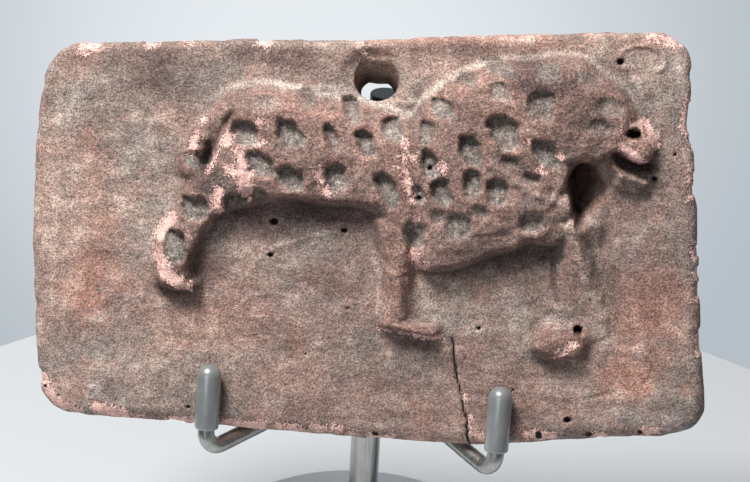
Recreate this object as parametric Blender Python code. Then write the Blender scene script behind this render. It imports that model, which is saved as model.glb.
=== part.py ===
"""Terracotta plaque with a spotted big cat in relief, held by a steel display stand.

Shapes are worked out in millimetres and stored in metres. Origin: centre of the foot's
underside. +Z is up, +X to the plaque's right as seen, and its face looks towards -Y.
"""

import math

import bmesh
import bpy
import numpy as np
from mathutils import Matrix, Vector
from mathutils.geometry import delaunay_2d_cdt

MM = 0.001
GAP = 0.3

# Stand, in millimetres
FOOT_RADIUS = 37.0
FOOT_HEIGHT = 5.0
FOOT_EDGE = 0.8
POST_RADIUS = 3.2
POST_TOP = 120.0
POST_EDGE = 0.3
WIRE_RADIUS = 1.65
BEND_RADIUS = 3.3
SLEEVE_RADIUS = 2.4
SLEEVE_LENGTH = 13.1
SLEEVE_WALL = 0.45
PRONG_LEFT = -30.3
PRONG_RIGHT = 26.8

# Plaque: its face is a plane that leans back, with "across" along X and "up" along the slope
LEAN = math.radians(16.5)
FACE_HEIGHT = 98.0
FACE_ACROSS = -0.8
THICKNESS = 10.0
FRONT_ROUNDING_TOP = 1.5
FRONT_ROUNDING_BOTTOM = 3.5
BACK_ROUNDING = 4.5
BACK_INSET = 1.0
LEFT_EDGE = -66.2
LEFT_BOW = 1.9
RIGHT_EDGE = 63.8
RIGHT_SLOPE = -0.15
TOP_EDGE = 38.75
TOP_SLOPE = 0.088
TOP_SAG = 0.6
SAG_ACROSS = -6.0
SAG_WIDTH = 9.0
BOTTOM_EDGE = -40.85
BOTTOM_RISE = 0.135
BOTTOM_RISE_START = 22.0
CORNER_TOP_LEFT = 9.0
CORNER_TOP_RIGHT = 6.5
CORNER_BOTTOM_RIGHT = 6.0
CORNER_BOTTOM_LEFT = 6.5
SIDE_STEP = 5.0
CORNER_STEPS = 7

# Suspension hole: it narrows and runs down towards the back
HOLE_ACROSS = -0.8
HOLE_FRONT_UP = 31.1
HOLE_FRONT_RADIUS = 4.35
HOLE_BACK_UP = 26.4
HOLE_BACK_RADIUS = 3.3

# Relief: each mass is a tapered bar (across, up, radius) to (across, up, radius), and a height
MASSES = {
    "rump": ((-22.0, 17.4, 11.0), (-18.0, 17.0, 11.2), 5.4),
    "rump_corner": ((-26.4, 23.0, 4.6), (-22.0, 22.6, 5.6), 4.8),
    "loin": ((-20.0, 17.0, 11.4), (2.0, 15.6, 9.9), 4.8),
    "chest": ((5.0, 14.2, 10.4), (15.5, 10.8, 13.0), 5.2),
    "belly": ((13.5, 0.6, 6.6), (30.3, 7.4, 6.2), 4.8),
    "shoulder": ((20.4, 17.4, 15.9), (22.5, 19.2, 16.2), 6.2),
    "neck": ((25.0, 26.0, 10.7), (34.2, 27.4, 10.8), 6.4),
    "head": ((37.0, 26.6, 9.6), (39.6, 26.2, 9.0), 6.0),
    "muzzle": ((42.0, 26.2, 7.8), (49.2, 21.8, 4.6), 5.0),
    "lower_lip": ((45.1, 18.3, 1.4), (46.8, 16.3, 1.4), 3.3),
    "lip_end": ((46.8, 16.3, 1.4), (51.8, 15.0, 1.2), 2.7),
    "jaw": ((46.6, 15.2, 1.7), (50.2, 14.1, 1.4), 2.1),
    "haunch": ((-24.0, 13.0, 9.0), (-32.5, 6.7, 5.6), 4.9),
    "hind_leg": ((-33.5, 5.2, 5.0), (-37.3, -3.0, 4.6), 4.5),
    "hind_foot": ((-37.7, -4.0, 4.6), (-37.5, -9.2, 4.4), 4.3),
    "hind_toe": ((-36.8, -10.6, 3.3), (-34.0, -11.5, 2.1), 3.4),
    "tail_root": ((-29.6, 23.4, 2.4), (-33.2, 17.8, 2.8), 3.4),
    "tail": ((-33.2, 17.8, 2.8), (-35.2, 10.8, 2.8), 3.3),
    "middle_thigh": ((5.2, 4.0, 5.2), (5.7, -5.0, 3.1), 4.2),
    "middle_leg": ((5.7, -5.0, 3.0), (6.0, -14.0, 3.0), 3.6),
    "middle_foot": ((4.7, -16.2, 2.5), (13.3, -17.3, 2.2), 3.4),
    "leg_root": ((31.0, 7.2, 6.4), (35.4, 5.2, 5.2), 4.4),
    "front_leg": ((38.2, 7.0, 3.4), (40.4, -12.0, 3.7), 2.0),
    "paw": ((36.3, -17.8, 4.1), (40.2, -17.5, 4.1), 3.5),
}
MASS_BLEND = 1.2
SIDE_WIDTH = 3.0
CROWN = 0.2

# Grooves: (across, up) to (across, up), half width, depth
GROOVES = {
    "cheek": ((24.6, 18.2), (34.6, 12.0), 1.1, 1.2),
    "tail_inside": ((-27.8, 22.6), (-31.6, 14.4), 0.9, 1.6),
    "mouth": ((45.6, 19.7), (52.4, 17.6), 0.9, 2.2),
}

# Throat pocket and round holes: across, up, half width, half height, depth
HOLLOWS = {
    "throat_pocket": (40.3, 12.8, 4.1, 6.0, 4.6),
    "eye": (48.6, 24.4, 1.1, 1.0, 1.8),
    "paw_hole": (41.6, -15.0, 1.1, 1.1, 2.0),
}

# Spots pressed into the coat: across, up, width, height
SPOTS = (
    (-24.7, 19.0, 5.2, 5.5), (-16.2, 19.8, 5.0, 5.9), (-21.5, 25.2, 4.3, 3.0),
    (-13.5, 26.3, 3.1, 3.4), (-8.3, 19.3, 2.5, 5.3), (-4.9, 24.7, 3.3, 4.6),
    (-1.6, 18.4, 3.9, 5.3), (-21.4, 13.7, 5.2, 4.8), (-15.7, 11.0, 5.4, 5.5),
    (-7.3, 11.8, 4.8, 5.9), (-33.6, 3.9, 5.4, 4.8), (-25.9, 5.2, 4.6, 5.0),
    (-37.3, -3.9, 4.6, 6.6), (3.1, 21.8, 4.3, 4.4), (2.8, 10.3, 4.1, 6.5),
    (8.9, 9.8, 2.5, 4.4), (13.2, 10.8, 3.9, 5.1), (10.6, 15.7, 3.5, 5.9),
    (9.6, 21.7, 2.8, 4.4), (12.2, 26.5, 4.6, 4.4), (8.7, 1.6, 3.9, 6.0),
    (16.9, 4.5, 5.0, 5.5), (16.3, 32.0, 3.9, 2.6), (22.5, 34.6, 4.8, 3.0),
    (22.6, 30.6, 4.3, 4.0), (18.1, 18.9, 4.6, 6.3), (24.0, 23.0, 6.2, 6.7),
    (18.8, 12.8, 3.9, 5.4), (23.8, 11.8, 4.6, 4.8), (30.5, 6.2, 5.2, 4.4),
    (30.4, 28.5, 5.2, 5.5), (31.3, 34.8, 4.6, 3.0), (38.8, 34.0, 3.9, 2.8),
    (43.8, 29.0, 5.0, 3.0), (32.2, 19.7, 5.8, 5.1),
)
SPOT_DEPTH = 1.3
SPOT_SQUARENESS = 3.0
SPOT_SLOPE = 0.3

# Spacing of the face's vertices, and how far the face may stray from them
COARSE_STEP = 4.0
FACE_TOLERANCES = (0.155, 0.133)


def clear_scene():
    for thing in list(bpy.data.objects):
        bpy.data.objects.remove(thing, do_unlink=True)


def make_material(name, colour, metallic, roughness):
    material = bpy.data.materials.new(name)
    material.use_nodes = True
    shader = material.node_tree.nodes["Principled BSDF"]
    shader.inputs["Base Color"].default_value = (*colour, 1.0)
    shader.inputs["Metallic"].default_value = metallic
    shader.inputs["Roughness"].default_value = roughness
    material.diffuse_color = (*colour, 1.0)
    return material


def add_object(name, shape, material):
    bmesh.ops.recalc_face_normals(shape, faces=shape.faces)
    for face in shape.faces:
        face.smooth = True
    mesh = bpy.data.meshes.new(name)
    shape.to_mesh(mesh)
    shape.free()
    mesh.materials.append(material)
    thing = bpy.data.objects.new(name, mesh)
    bpy.context.collection.objects.link(thing)
    return thing


def apply_modifiers(thing):
    bpy.ops.object.select_all(action="DESELECT")
    thing.select_set(True)
    bpy.context.view_layer.objects.active = thing
    bpy.ops.object.convert(target="MESH")


# Relief


def smooth_max(first, second, blend):
    overlap = np.maximum(blend - np.abs(first - second), 0.0)
    return np.maximum(first, second) + overlap**2 / (4.0 * blend)


def bar_distance(across, up, start, end):
    """Distance to the line from start to end, and how far along it each point lies."""
    run = np.array(end[:2]) - np.array(start[:2])
    along = ((across - start[0]) * run[0] + (up - start[1]) * run[1]) / run.dot(run)
    along = np.clip(along, 0.0, 1.0)
    away = np.hypot(across - start[0] - along * run[0], up - start[1] - along * run[1])
    return away, along


def mass_height(across, up, start, end, height):
    away, along = bar_distance(across, up, start, end)
    radius = start[2] + (end[2] - start[2]) * along
    side = np.clip((radius - away) / np.minimum(SIDE_WIDTH, radius), 0.0, 1.0)
    crown = 1.0 - CROWN * np.clip(away / radius, 0.0, 1.0) ** 2
    dome = height * crown * np.sin(side * math.pi / 2.0)
    return np.where(away < radius, dome, radius - away)


def pressed(across, up, centre_across, centre_up, half_width, half_height, depth):
    """A rounded-square mark with a steep rim and a floor that falls towards its top."""
    reach = (
        np.abs((across - centre_across) / half_width) ** SPOT_SQUARENESS
        + np.abs((up - centre_up) / half_height) ** SPOT_SQUARENESS
    ) ** (1.0 / SPOT_SQUARENESS)
    fall = np.clip((1.15 - reach) / 0.5, 0.0, 1.0)
    slope = 1.0 + SPOT_SLOPE * np.clip((up - centre_up) / half_height, -1.0, 1.0)
    return depth * slope * fall * fall * (3.0 - 2.0 * fall)


def face_height(across, up):
    """Height of the carved face above the plaque's ground, in millimetres."""
    height = np.zeros_like(across)
    for start, end, top in MASSES.values():
        height = smooth_max(height, mass_height(across, up, start, end, top), MASS_BLEND)
    for start, end, half_width, depth in GROOVES.values():
        away, _ = bar_distance(across, up, start, end)
        height = height - depth * np.exp(-((away / half_width) ** 2))
    for hollow in HOLLOWS.values():
        height = height - pressed(across, up, *hollow)
    for centre_across, centre_up, width, tall in SPOTS:
        mark = (centre_across, centre_up, width / 2.0, tall / 2.0, SPOT_DEPTH)
        height = height - pressed(across, up, *mark)
    return height


# Plaque


def left_at(up):
    return LEFT_EDGE + LEFT_BOW * ((up - 4.0) / 38.0) ** 2


def right_at(up):
    return RIGHT_EDGE + RIGHT_SLOPE * up


def top_at(across):
    sag = TOP_SAG * math.exp(-(((across - SAG_ACROSS) / SAG_WIDTH) ** 2))
    return TOP_EDGE + TOP_SLOPE * across - sag


def bottom_at(across):
    return BOTTOM_EDGE + BOTTOM_RISE * max(across - BOTTOM_RISE_START, 0.0)


def rounded_corner(corner, before, after, radius):
    """Points of the arc that rounds a corner between its two neighbours."""
    corner, before, after = Vector(corner), Vector(before), Vector(after)
    way_in = (before - corner).normalized()
    way_out = (after - corner).normalized()
    half_angle = way_in.angle(way_out) / 2.0
    centre = corner + (way_in + way_out).normalized() * radius / math.sin(half_angle)
    first = corner + way_in * radius / math.tan(half_angle) - centre
    last = corner + way_out * radius / math.tan(half_angle) - centre
    points = []
    for step in range(CORNER_STEPS + 1):
        share = step / CORNER_STEPS
        spoke = first.lerp(last, share).normalized() * radius
        points.append(centre + spoke)
    return points


def side_points(start, end, place):
    """Evenly spaced points between two corner arcs, set on the side by place()."""
    count = max(round((end - start).length / SIDE_STEP), 2)
    return [place(start.lerp(end, step / count)) for step in range(1, count)]


def plaque_outline():
    """Closed outline, anticlockwise seen from the front, with an outward normal at each point."""
    low_left = (left_at(-36.0), bottom_at(-60.0))
    low_right = (right_at(-34.0), bottom_at(66.0))
    high_right = (right_at(42.0), top_at(58.0))
    high_left = (left_at(30.0), top_at(-64.0))
    corners = (low_left, low_right, high_right, high_left)
    radii = (CORNER_BOTTOM_LEFT, CORNER_BOTTOM_RIGHT, CORNER_TOP_RIGHT, CORNER_TOP_LEFT)
    arcs = []
    for index, corner in enumerate(corners):
        before, after = corners[index - 1], corners[(index + 1) % 4]
        arcs.append(rounded_corner(corner, before, after, radii[index]))
    sides = (
        lambda point: Vector((point.x, max(bottom_at(point.x), BOTTOM_EDGE))),
        lambda point: Vector((right_at(point.y), point.y)),
        lambda point: Vector((point.x, top_at(point.x))),
        lambda point: Vector((left_at(point.y), point.y)),
    )
    points = []
    for index, place in enumerate(sides):
        points += arcs[index]
        points += side_points(arcs[index][-1], arcs[(index + 1) % 4][0], place)
    normals = []
    for index, point in enumerate(points):
        run = (points[(index + 1) % len(points)] - points[index - 1]).normalized()
        normals.append(Vector((run.y, -run.x)))
    return points, normals


def front_rounding(up):
    share = (up - BOTTOM_EDGE) / (TOP_EDGE - BOTTOM_EDGE)
    share = min(max(share, 0.0), 1.0)
    return FRONT_ROUNDING_BOTTOM + (FRONT_ROUNDING_TOP - FRONT_ROUNDING_BOTTOM) * share


def edge_profile(up):
    """(inset, depth) pairs from the face over the rounded edge to the back."""
    rounding = front_rounding(up)
    pairs = []
    for degrees in (0, 25, 48, 70, 90):
        angle = math.radians(degrees)
        inset = rounding * (1.0 - math.sin(angle))
        pairs.append((inset, rounding * (1.0 - math.cos(angle))))
    for degrees in (0, 25, 50, 72, 90):
        angle = math.radians(degrees)
        inset = BACK_INSET + BACK_ROUNDING * (1.0 - math.cos(angle))
        pairs.append((inset, THICKNESS - BACK_ROUNDING * (1.0 - math.sin(angle))))
    return pairs


def inside_outline(across, up, points, margin):
    """True where a point lies inside the polygon and farther than margin from it."""
    inside = np.zeros(across.shape, dtype=bool)
    away = np.full(across.shape, np.inf)
    for index, start in enumerate(points):
        end = points[(index + 1) % len(points)]
        crosses = (start.y > up) != (end.y > up)
        rise = end.y - start.y if end.y != start.y else 1.0
        cut = start.x + (up - start.y) * (end.x - start.x) / rise
        inside ^= crosses & (across < cut)
        away = np.minimum(away, bar_distance(across, up, start, end)[0])
    return inside & (away > margin)


def face_points(boundary):
    """Vertices of the face: a coarse lattice, made finer in two steps where the relief needs it."""
    chosen = []
    reach_across = np.arange(LEFT_EDGE, -LEFT_EDGE + 4.0, COARSE_STEP)
    reach_up = np.arange(BOTTOM_EDGE, -BOTTOM_EDGE + 8.0, COARSE_STEP)
    across, up = np.meshgrid(reach_across, reach_up)
    keep = inside_outline(across, up, boundary, COARSE_STEP * 0.4)
    chosen += list(zip(across[keep], up[keep]))
    step = COARSE_STEP
    for tolerance in FACE_TOLERANCES:
        step = step / 2.0
        across, up = np.meshgrid(
            np.arange(reach_across[0], reach_across[-1], step),
            np.arange(reach_up[0], reach_up[-1], step),
        )
        odd = np.zeros(across.shape, dtype=bool)
        odd[1::2, :] = True
        odd[:, 1::2] = True
        level = face_height(across, up)
        bend = np.zeros(across.shape)
        for shift_across, shift_up in ((step, 0.0), (0.0, step), (step, step), (step, -step)):
            ahead = face_height(across + shift_across, up + shift_up)
            behind = face_height(across - shift_across, up - shift_up)
            bend = np.maximum(bend, np.abs(level - (ahead + behind) / 2.0))
        keep = odd & (bend > tolerance) & inside_outline(across, up, boundary, step * 0.5)
        chosen += list(zip(across[keep], up[keep]))
    return [Vector(point) for point in chosen]


def on_plaque(across, up, height):
    """Row position, in metres, of a point given on the plaque's leaning face."""
    offset_y = face_setback() + up * math.sin(LEAN) - height * math.cos(LEAN)
    offset_z = FACE_HEIGHT + up * math.cos(LEAN) + height * math.sin(LEAN)
    return Vector((FACE_ACROSS + across, offset_y, offset_z)) * MM


def face_setback():
    """Y of the face's centre that leaves a gap between the plaque's back and the post's top."""
    up = (POST_TOP - FACE_HEIGHT + THICKNESS * math.sin(LEAN)) / math.cos(LEAN)
    back = up * math.sin(LEAN) + THICKNESS * math.cos(LEAN)
    return -POST_RADIUS - GAP / math.cos(LEAN) - back


def build_plaque(material):
    points, normals = plaque_outline()
    shape = bmesh.new()
    rings = [[] for _ in edge_profile(0.0)]
    boundary = []
    for point, normal in zip(points, normals):
        profile = edge_profile(point.y)
        boundary.append(point - normal * profile[0][0])
        for ring, (inset, depth) in zip(rings, profile):
            place = point - normal * inset
            ring.append(shape.verts.new(on_plaque(place.x, place.y, -depth)))
    for outer, inner in zip(rings, rings[1:]):
        for index in range(len(points)):
            following = (index + 1) % len(points)
            shape.faces.new((outer[index], outer[following], inner[following], inner[index]))

    loose = face_points(boundary)
    heights = face_height(
        np.array([point.x for point in loose]), np.array([point.y for point in loose])
    )
    edges = [(index, (index + 1) % len(boundary)) for index in range(len(boundary))]
    mesh = delaunay_2d_cdt(boundary + loose, edges, [], 1, 0.0001)
    verts = []
    for place, sources in zip(mesh[0], mesh[3]):
        source = min(sources)
        if source < len(boundary):
            verts.append(rings[0][source])
        else:
            height = float(heights[source - len(boundary)])
            verts.append(shape.verts.new(on_plaque(place.x, place.y, height)))
    for face in mesh[2]:
        shape.faces.new([verts[index] for index in face])
    shape.faces.new(rings[-1])
    plaque = add_object("plaque", shape, material)

    reach = 6.0
    fall = (HOLE_FRONT_UP - HOLE_BACK_UP) / THICKNESS
    taper = (HOLE_FRONT_RADIUS - HOLE_BACK_RADIUS) / THICKNESS
    cutter = bmesh.new()
    loops = []
    for height in (reach, -THICKNESS - reach):
        radius = HOLE_FRONT_RADIUS + taper * height
        loop = []
        for step in range(24):
            angle = math.tau * step / 24
            across = HOLE_ACROSS + radius * math.cos(angle)
            up = HOLE_FRONT_UP + fall * height + radius * math.sin(angle)
            loop.append(cutter.verts.new(on_plaque(across, up, height)))
        loops.append(loop)
    for step in range(24):
        following = (step + 1) % 24
        cutter.faces.new((loops[0][step], loops[0][following], loops[1][following], loops[1][step]))
    cutter.faces.new(loops[0])
    cutter.faces.new(loops[1])
    tool = add_object("hole_cutter", cutter, material)
    tool.hide_render = True
    tool.display_type = "WIRE"
    cut = plaque.modifiers.new("hole", "BOOLEAN")
    cut.operation = "DIFFERENCE"
    cut.solver = "EXACT"
    cut.object = tool
    apply_modifiers(plaque)
    bpy.data.objects.remove(tool, do_unlink=True)
    return plaque


# Stand


def turned(name, profile, material, segments):
    """Solid of revolution about Z from (radius, height) pairs in millimetres."""
    shape = bmesh.new()
    verts = [shape.verts.new((radius * MM, 0.0, height * MM)) for radius, height in profile]
    edges = [shape.edges.new(pair) for pair in zip(verts, verts[1:])]
    bmesh.ops.spin(
        shape,
        geom=verts + edges,
        cent=(0.0, 0.0, 0.0),
        axis=(0.0, 0.0, 1.0),
        angle=math.tau,
        steps=segments,
        use_merge=True,
    )
    bmesh.ops.remove_doubles(shape, verts=shape.verts, dist=0.00001)
    return add_object(name, shape, material)


def edge_arc(radius, height, edge, start, steps):
    """Quarter-round (radius, height) pairs for an outer edge; start is its angle in degrees."""
    pairs = []
    for step in range(steps + 1):
        angle = math.radians(start + 90.0 * step / steps)
        pairs.append((radius - edge + edge * math.cos(angle), height + edge * math.sin(angle)))
    return pairs


def build_foot(material):
    profile = [(0.0, 0.0), (FOOT_RADIUS - FOOT_EDGE, 0.0), (FOOT_RADIUS, FOOT_EDGE)]
    profile += edge_arc(FOOT_RADIUS, FOOT_HEIGHT - FOOT_EDGE, FOOT_EDGE, 0.0, 3)
    profile.append((0.0, FOOT_HEIGHT))
    return turned("foot", profile, material, 64)


def build_post(material):
    low = FOOT_HEIGHT + GAP
    profile = [(0.0, low), (POST_RADIUS, low)]
    profile += edge_arc(POST_RADIUS, POST_TOP - POST_EDGE, POST_EDGE, 0.0, 2)
    profile.append((0.0, POST_TOP))
    return turned("post", profile, material, 32)


def prong_line(across):
    """Foot and upward direction of a prong's axis, in millimetres, and its arm's inner end."""
    height = SLEEVE_RADIUS + GAP
    upward = Vector((0.0, math.sin(LEAN), math.cos(LEAN)))
    face = on_plaque(across - FACE_ACROSS, BOTTOM_EDGE, height) / MM
    level = min(plaque_lowest(), face.z) - GAP - WIRE_RADIUS
    start = face + upward * (level - face.z) / upward.z
    inward = Vector((-start.x, -start.y, 0.0)).normalized()
    end = Vector((0.0, 0.0, level)) - inward * (POST_RADIUS + GAP)
    return start, upward, inward, end


def plaque_lowest():
    """Lowest height that the plaque's rounded bottom edge reaches."""
    lows = []
    for inset, depth in edge_profile(BOTTOM_EDGE):
        lows.append(on_plaque(0.0, BOTTOM_EDGE + inset, -depth).z / MM)
    return min(lows)


def sleeve_bottom(start, upward):
    """Distance up the prong at which its sleeve begins, just above the bend."""
    tangent = BEND_RADIUS / math.tan(upward.angle(Vector((0.0, 1.0, 0.0))) / 2.0)
    return tangent + GAP


def build_arm(name, across, material):
    start, upward, inward, end = prong_line(across)
    half_angle = upward.angle(inward) / 2.0
    tangent = BEND_RADIUS / math.tan(half_angle)
    centre = start + (upward + inward).normalized() * BEND_RADIUS / math.sin(half_angle)
    first = start + upward * tangent - centre
    last = start + inward * tangent - centre
    top = sleeve_bottom(start, upward) + SLEEVE_LENGTH - SLEEVE_WALL - GAP
    path = [start + upward * top]
    for step in range(9):
        path.append(centre + first.slerp(last, step / 8).normalized() * BEND_RADIUS)
    path.append(end)

    curve = bpy.data.curves.new(name, "CURVE")
    curve.dimensions = "3D"
    curve.bevel_depth = WIRE_RADIUS * MM
    curve.bevel_resolution = 2
    curve.use_fill_caps = True
    spline = curve.splines.new("POLY")
    spline.points.add(len(path) - 1)
    for point, place in zip(spline.points, path):
        point.co = (*(place * MM), 1.0)
    thing = bpy.data.objects.new(name, curve)
    bpy.context.collection.objects.link(thing)
    apply_modifiers(thing)
    shape = bmesh.new()
    shape.from_mesh(thing.data)
    bpy.data.objects.remove(thing, do_unlink=True)
    bmesh.ops.remove_doubles(shape, verts=shape.verts, dist=0.00001)
    return add_object(name, shape, material)


def build_sleeve(name, across, material):
    """Soft tube over the prong, closed over its end."""
    start, upward, _, _ = prong_line(across)
    bore = SLEEVE_RADIUS - SLEEVE_WALL
    lip = 0.5
    crown = 1.6
    profile = [(bore, 0.0), (SLEEVE_RADIUS - lip, 0.0), (SLEEVE_RADIUS, lip)]
    profile += edge_arc(SLEEVE_RADIUS, SLEEVE_LENGTH - crown, crown, 0.0, 4)
    profile += [(0.0, SLEEVE_LENGTH), (0.0, SLEEVE_LENGTH - SLEEVE_WALL)]
    profile += [(bore, SLEEVE_LENGTH - SLEEVE_WALL), (bore, 0.0)]
    sleeve = turned(name, profile, material, 24)
    place = (start + upward * sleeve_bottom(start, upward)) * MM
    tilt = Matrix.Rotation(-LEAN, 4, "X")
    sleeve.data.transform(Matrix.Translation(place) @ tilt)
    return sleeve


def main():
    clear_scene()
    clay = make_material("terracotta", (0.33, 0.20, 0.15), 0.0, 0.9)
    steel = make_material("brushed_steel", (0.62, 0.62, 0.61), 1.0, 0.35)
    plate = make_material("foot_steel", (0.36, 0.37, 0.38), 0.6, 0.5)
    tube = make_material("grey_sleeve", (0.33, 0.34, 0.33), 0.0, 0.35)
    build_plaque(clay)
    build_foot(plate)
    build_post(steel)
    build_arm("arm_left", PRONG_LEFT, steel)
    build_arm("arm_right", PRONG_RIGHT, steel)
    build_sleeve("sleeve_left", PRONG_LEFT, tube)
    build_sleeve("sleeve_right", PRONG_RIGHT, tube)


main()
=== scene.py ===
# %% [markdown]
# # A terracotta plaque on a steel display stand
# The plaque was pressed from a mould: a spotted big cat stands in bold relief on a flat slab,
# a slanting hole near the top edge once took a cord, and the coat's spots were pushed into
# the wet clay. A stand of bent wire holds it, leaning back on a round post.
# The slab is one dense mesh whose height is worked out from named masses, so that a spot or
# a leg can be moved by changing one line. The stand's arms and sleeves are modelled by hand
# from primitives; its post and foot are the loaded parts, given new finishes.

# %% Load the frame
import math

import bmesh
import bpy
import numpy as np
from mathutils import Matrix, Vector


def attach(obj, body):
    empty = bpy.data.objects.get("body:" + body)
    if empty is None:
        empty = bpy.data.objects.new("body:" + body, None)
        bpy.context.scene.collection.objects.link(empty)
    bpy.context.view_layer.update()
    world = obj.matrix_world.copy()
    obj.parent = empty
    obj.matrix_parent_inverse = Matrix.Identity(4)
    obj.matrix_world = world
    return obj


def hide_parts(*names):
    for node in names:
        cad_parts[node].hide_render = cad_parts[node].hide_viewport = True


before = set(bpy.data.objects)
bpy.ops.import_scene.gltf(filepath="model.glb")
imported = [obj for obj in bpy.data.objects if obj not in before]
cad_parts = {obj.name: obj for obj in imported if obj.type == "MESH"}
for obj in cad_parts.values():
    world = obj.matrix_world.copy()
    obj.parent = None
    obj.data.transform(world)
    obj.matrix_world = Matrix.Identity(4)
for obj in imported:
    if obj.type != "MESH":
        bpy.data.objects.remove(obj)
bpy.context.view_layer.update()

MM = 0.001
print("solids:", ", ".join(sorted(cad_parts)))

# %% [markdown]
# ## Places on the slab
# Everything on the slab is given in millimetres as across, up and height: across and up
# lie in its leaning face, and height stands out of it. One function turns them into the
# object's own frame, and one turns a point back again.

# %% Slab sizes
LEAN = math.radians(16.5)
FACE_ACROSS = -0.8
FACE_HEIGHT = 98.0
THICKNESS = 10.0
POST_TOP = 120.0
POST_RADIUS = 3.2
GAP = 0.3


def face_setback():
    up = (POST_TOP - FACE_HEIGHT + THICKNESS * math.sin(LEAN)) / math.cos(LEAN)
    back = up * math.sin(LEAN) + THICKNESS * math.cos(LEAN)
    return -POST_RADIUS - GAP / math.cos(LEAN) - back


FACE_SETBACK = face_setback()


def place(across, up, height):
    """Row positions in metres of points on the slab given in millimetres."""
    y = FACE_SETBACK + up * math.sin(LEAN) - height * math.cos(LEAN)
    z = FACE_HEIGHT + up * math.cos(LEAN) + height * math.sin(LEAN)
    return np.stack([FACE_ACROSS + across, y, z], axis=-1) * MM


def unplace(points):
    """The reverse of place(): across, up and height in millimetres."""
    x, y, z = (points / MM).T
    back, rise = y - FACE_SETBACK, z - FACE_HEIGHT
    up = back * math.sin(LEAN) + rise * math.cos(LEAN)
    height = -back * math.cos(LEAN) + rise * math.sin(LEAN)
    return x - FACE_ACROSS, up, height


print("face centre:", np.round(place(0.0, 0.0, 0.0), 4))

# %% [markdown]
# ## Helpers for hand-made clay
# Clay is never smooth: the same seeded noise roughens the face, the outline and the chips.
# Soft steps keep each edge a little round.

# %% Noise and soft steps


def soft_step(low, high, value):
    share = np.clip((value - low) / (high - low), 0.0, 1.0)
    return share * share * (3.0 - 2.0 * share)


def lumps(across, up, size, seed):
    """Smooth noise between -1 and 1 whose lumps are about size millimetres wide."""
    table = np.random.default_rng(seed).uniform(-1.0, 1.0, (128, 128))
    a, b = across / size + 37.0, up / size + 53.0
    ia, ib = np.floor(a).astype(int), np.floor(b).astype(int)
    fa, fb = a - ia, b - ib
    fa = fa * fa * fa * (fa * (fa * 6.0 - 15.0) + 10.0)
    fb = fb * fb * fb * (fb * (fb * 6.0 - 15.0) + 10.0)
    ia, ib = ia % 128, ib % 128
    ja, jb = (ia + 1) % 128, (ib + 1) % 128
    low = table[ia, ib] * (1 - fa) + table[ja, ib] * fa
    high = table[ia, jb] * (1 - fa) + table[ja, jb] * fa
    return low * (1 - fb) + high * fb


def rough(across, up, size, seed, layers=3):
    total = np.zeros_like(across)
    for layer in range(layers):
        turn = 0.6 + 1.1 * layer
        a = across * math.cos(turn) - up * math.sin(turn)
        b = across * math.sin(turn) + up * math.cos(turn)
        total += lumps(a, b, size / 2.0**layer, seed + layer) * 0.5**layer
    return total / 1.6


def bar_distance(across, up, start, end):
    """Distance to the line from start to end, and how far along it each point lies."""
    run_a, run_b = end[0] - start[0], end[1] - start[1]
    length = run_a * run_a + run_b * run_b
    along = ((across - start[0]) * run_a + (up - start[1]) * run_b) / max(length, 1e-9)
    along = np.clip(along, 0.0, 1.0)
    away = np.hypot(across - start[0] - along * run_a, up - start[1] - along * run_b)
    return away, along


def path_distance(across, up, points):
    away = np.full(across.shape, 1e3)
    for start, end in zip(points, points[1:]):
        away = np.minimum(away, bar_distance(across, up, start, end)[0])
    return away


def smooth_max(first, second, blend):
    overlap = np.maximum(blend - np.abs(first - second), 0.0)
    return np.maximum(first, second) + overlap**2 / (4.0 * blend)


# %% [markdown]
# ## The animal
# The real relief was built up as soft masses: rump, loin, chest, shoulder, neck, head and
# limbs. Each is a tapered bar with a round shoulder, and neighbouring masses melt into each
# other. A sculpting brush could do the same, but named bars can be measured and moved.

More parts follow.
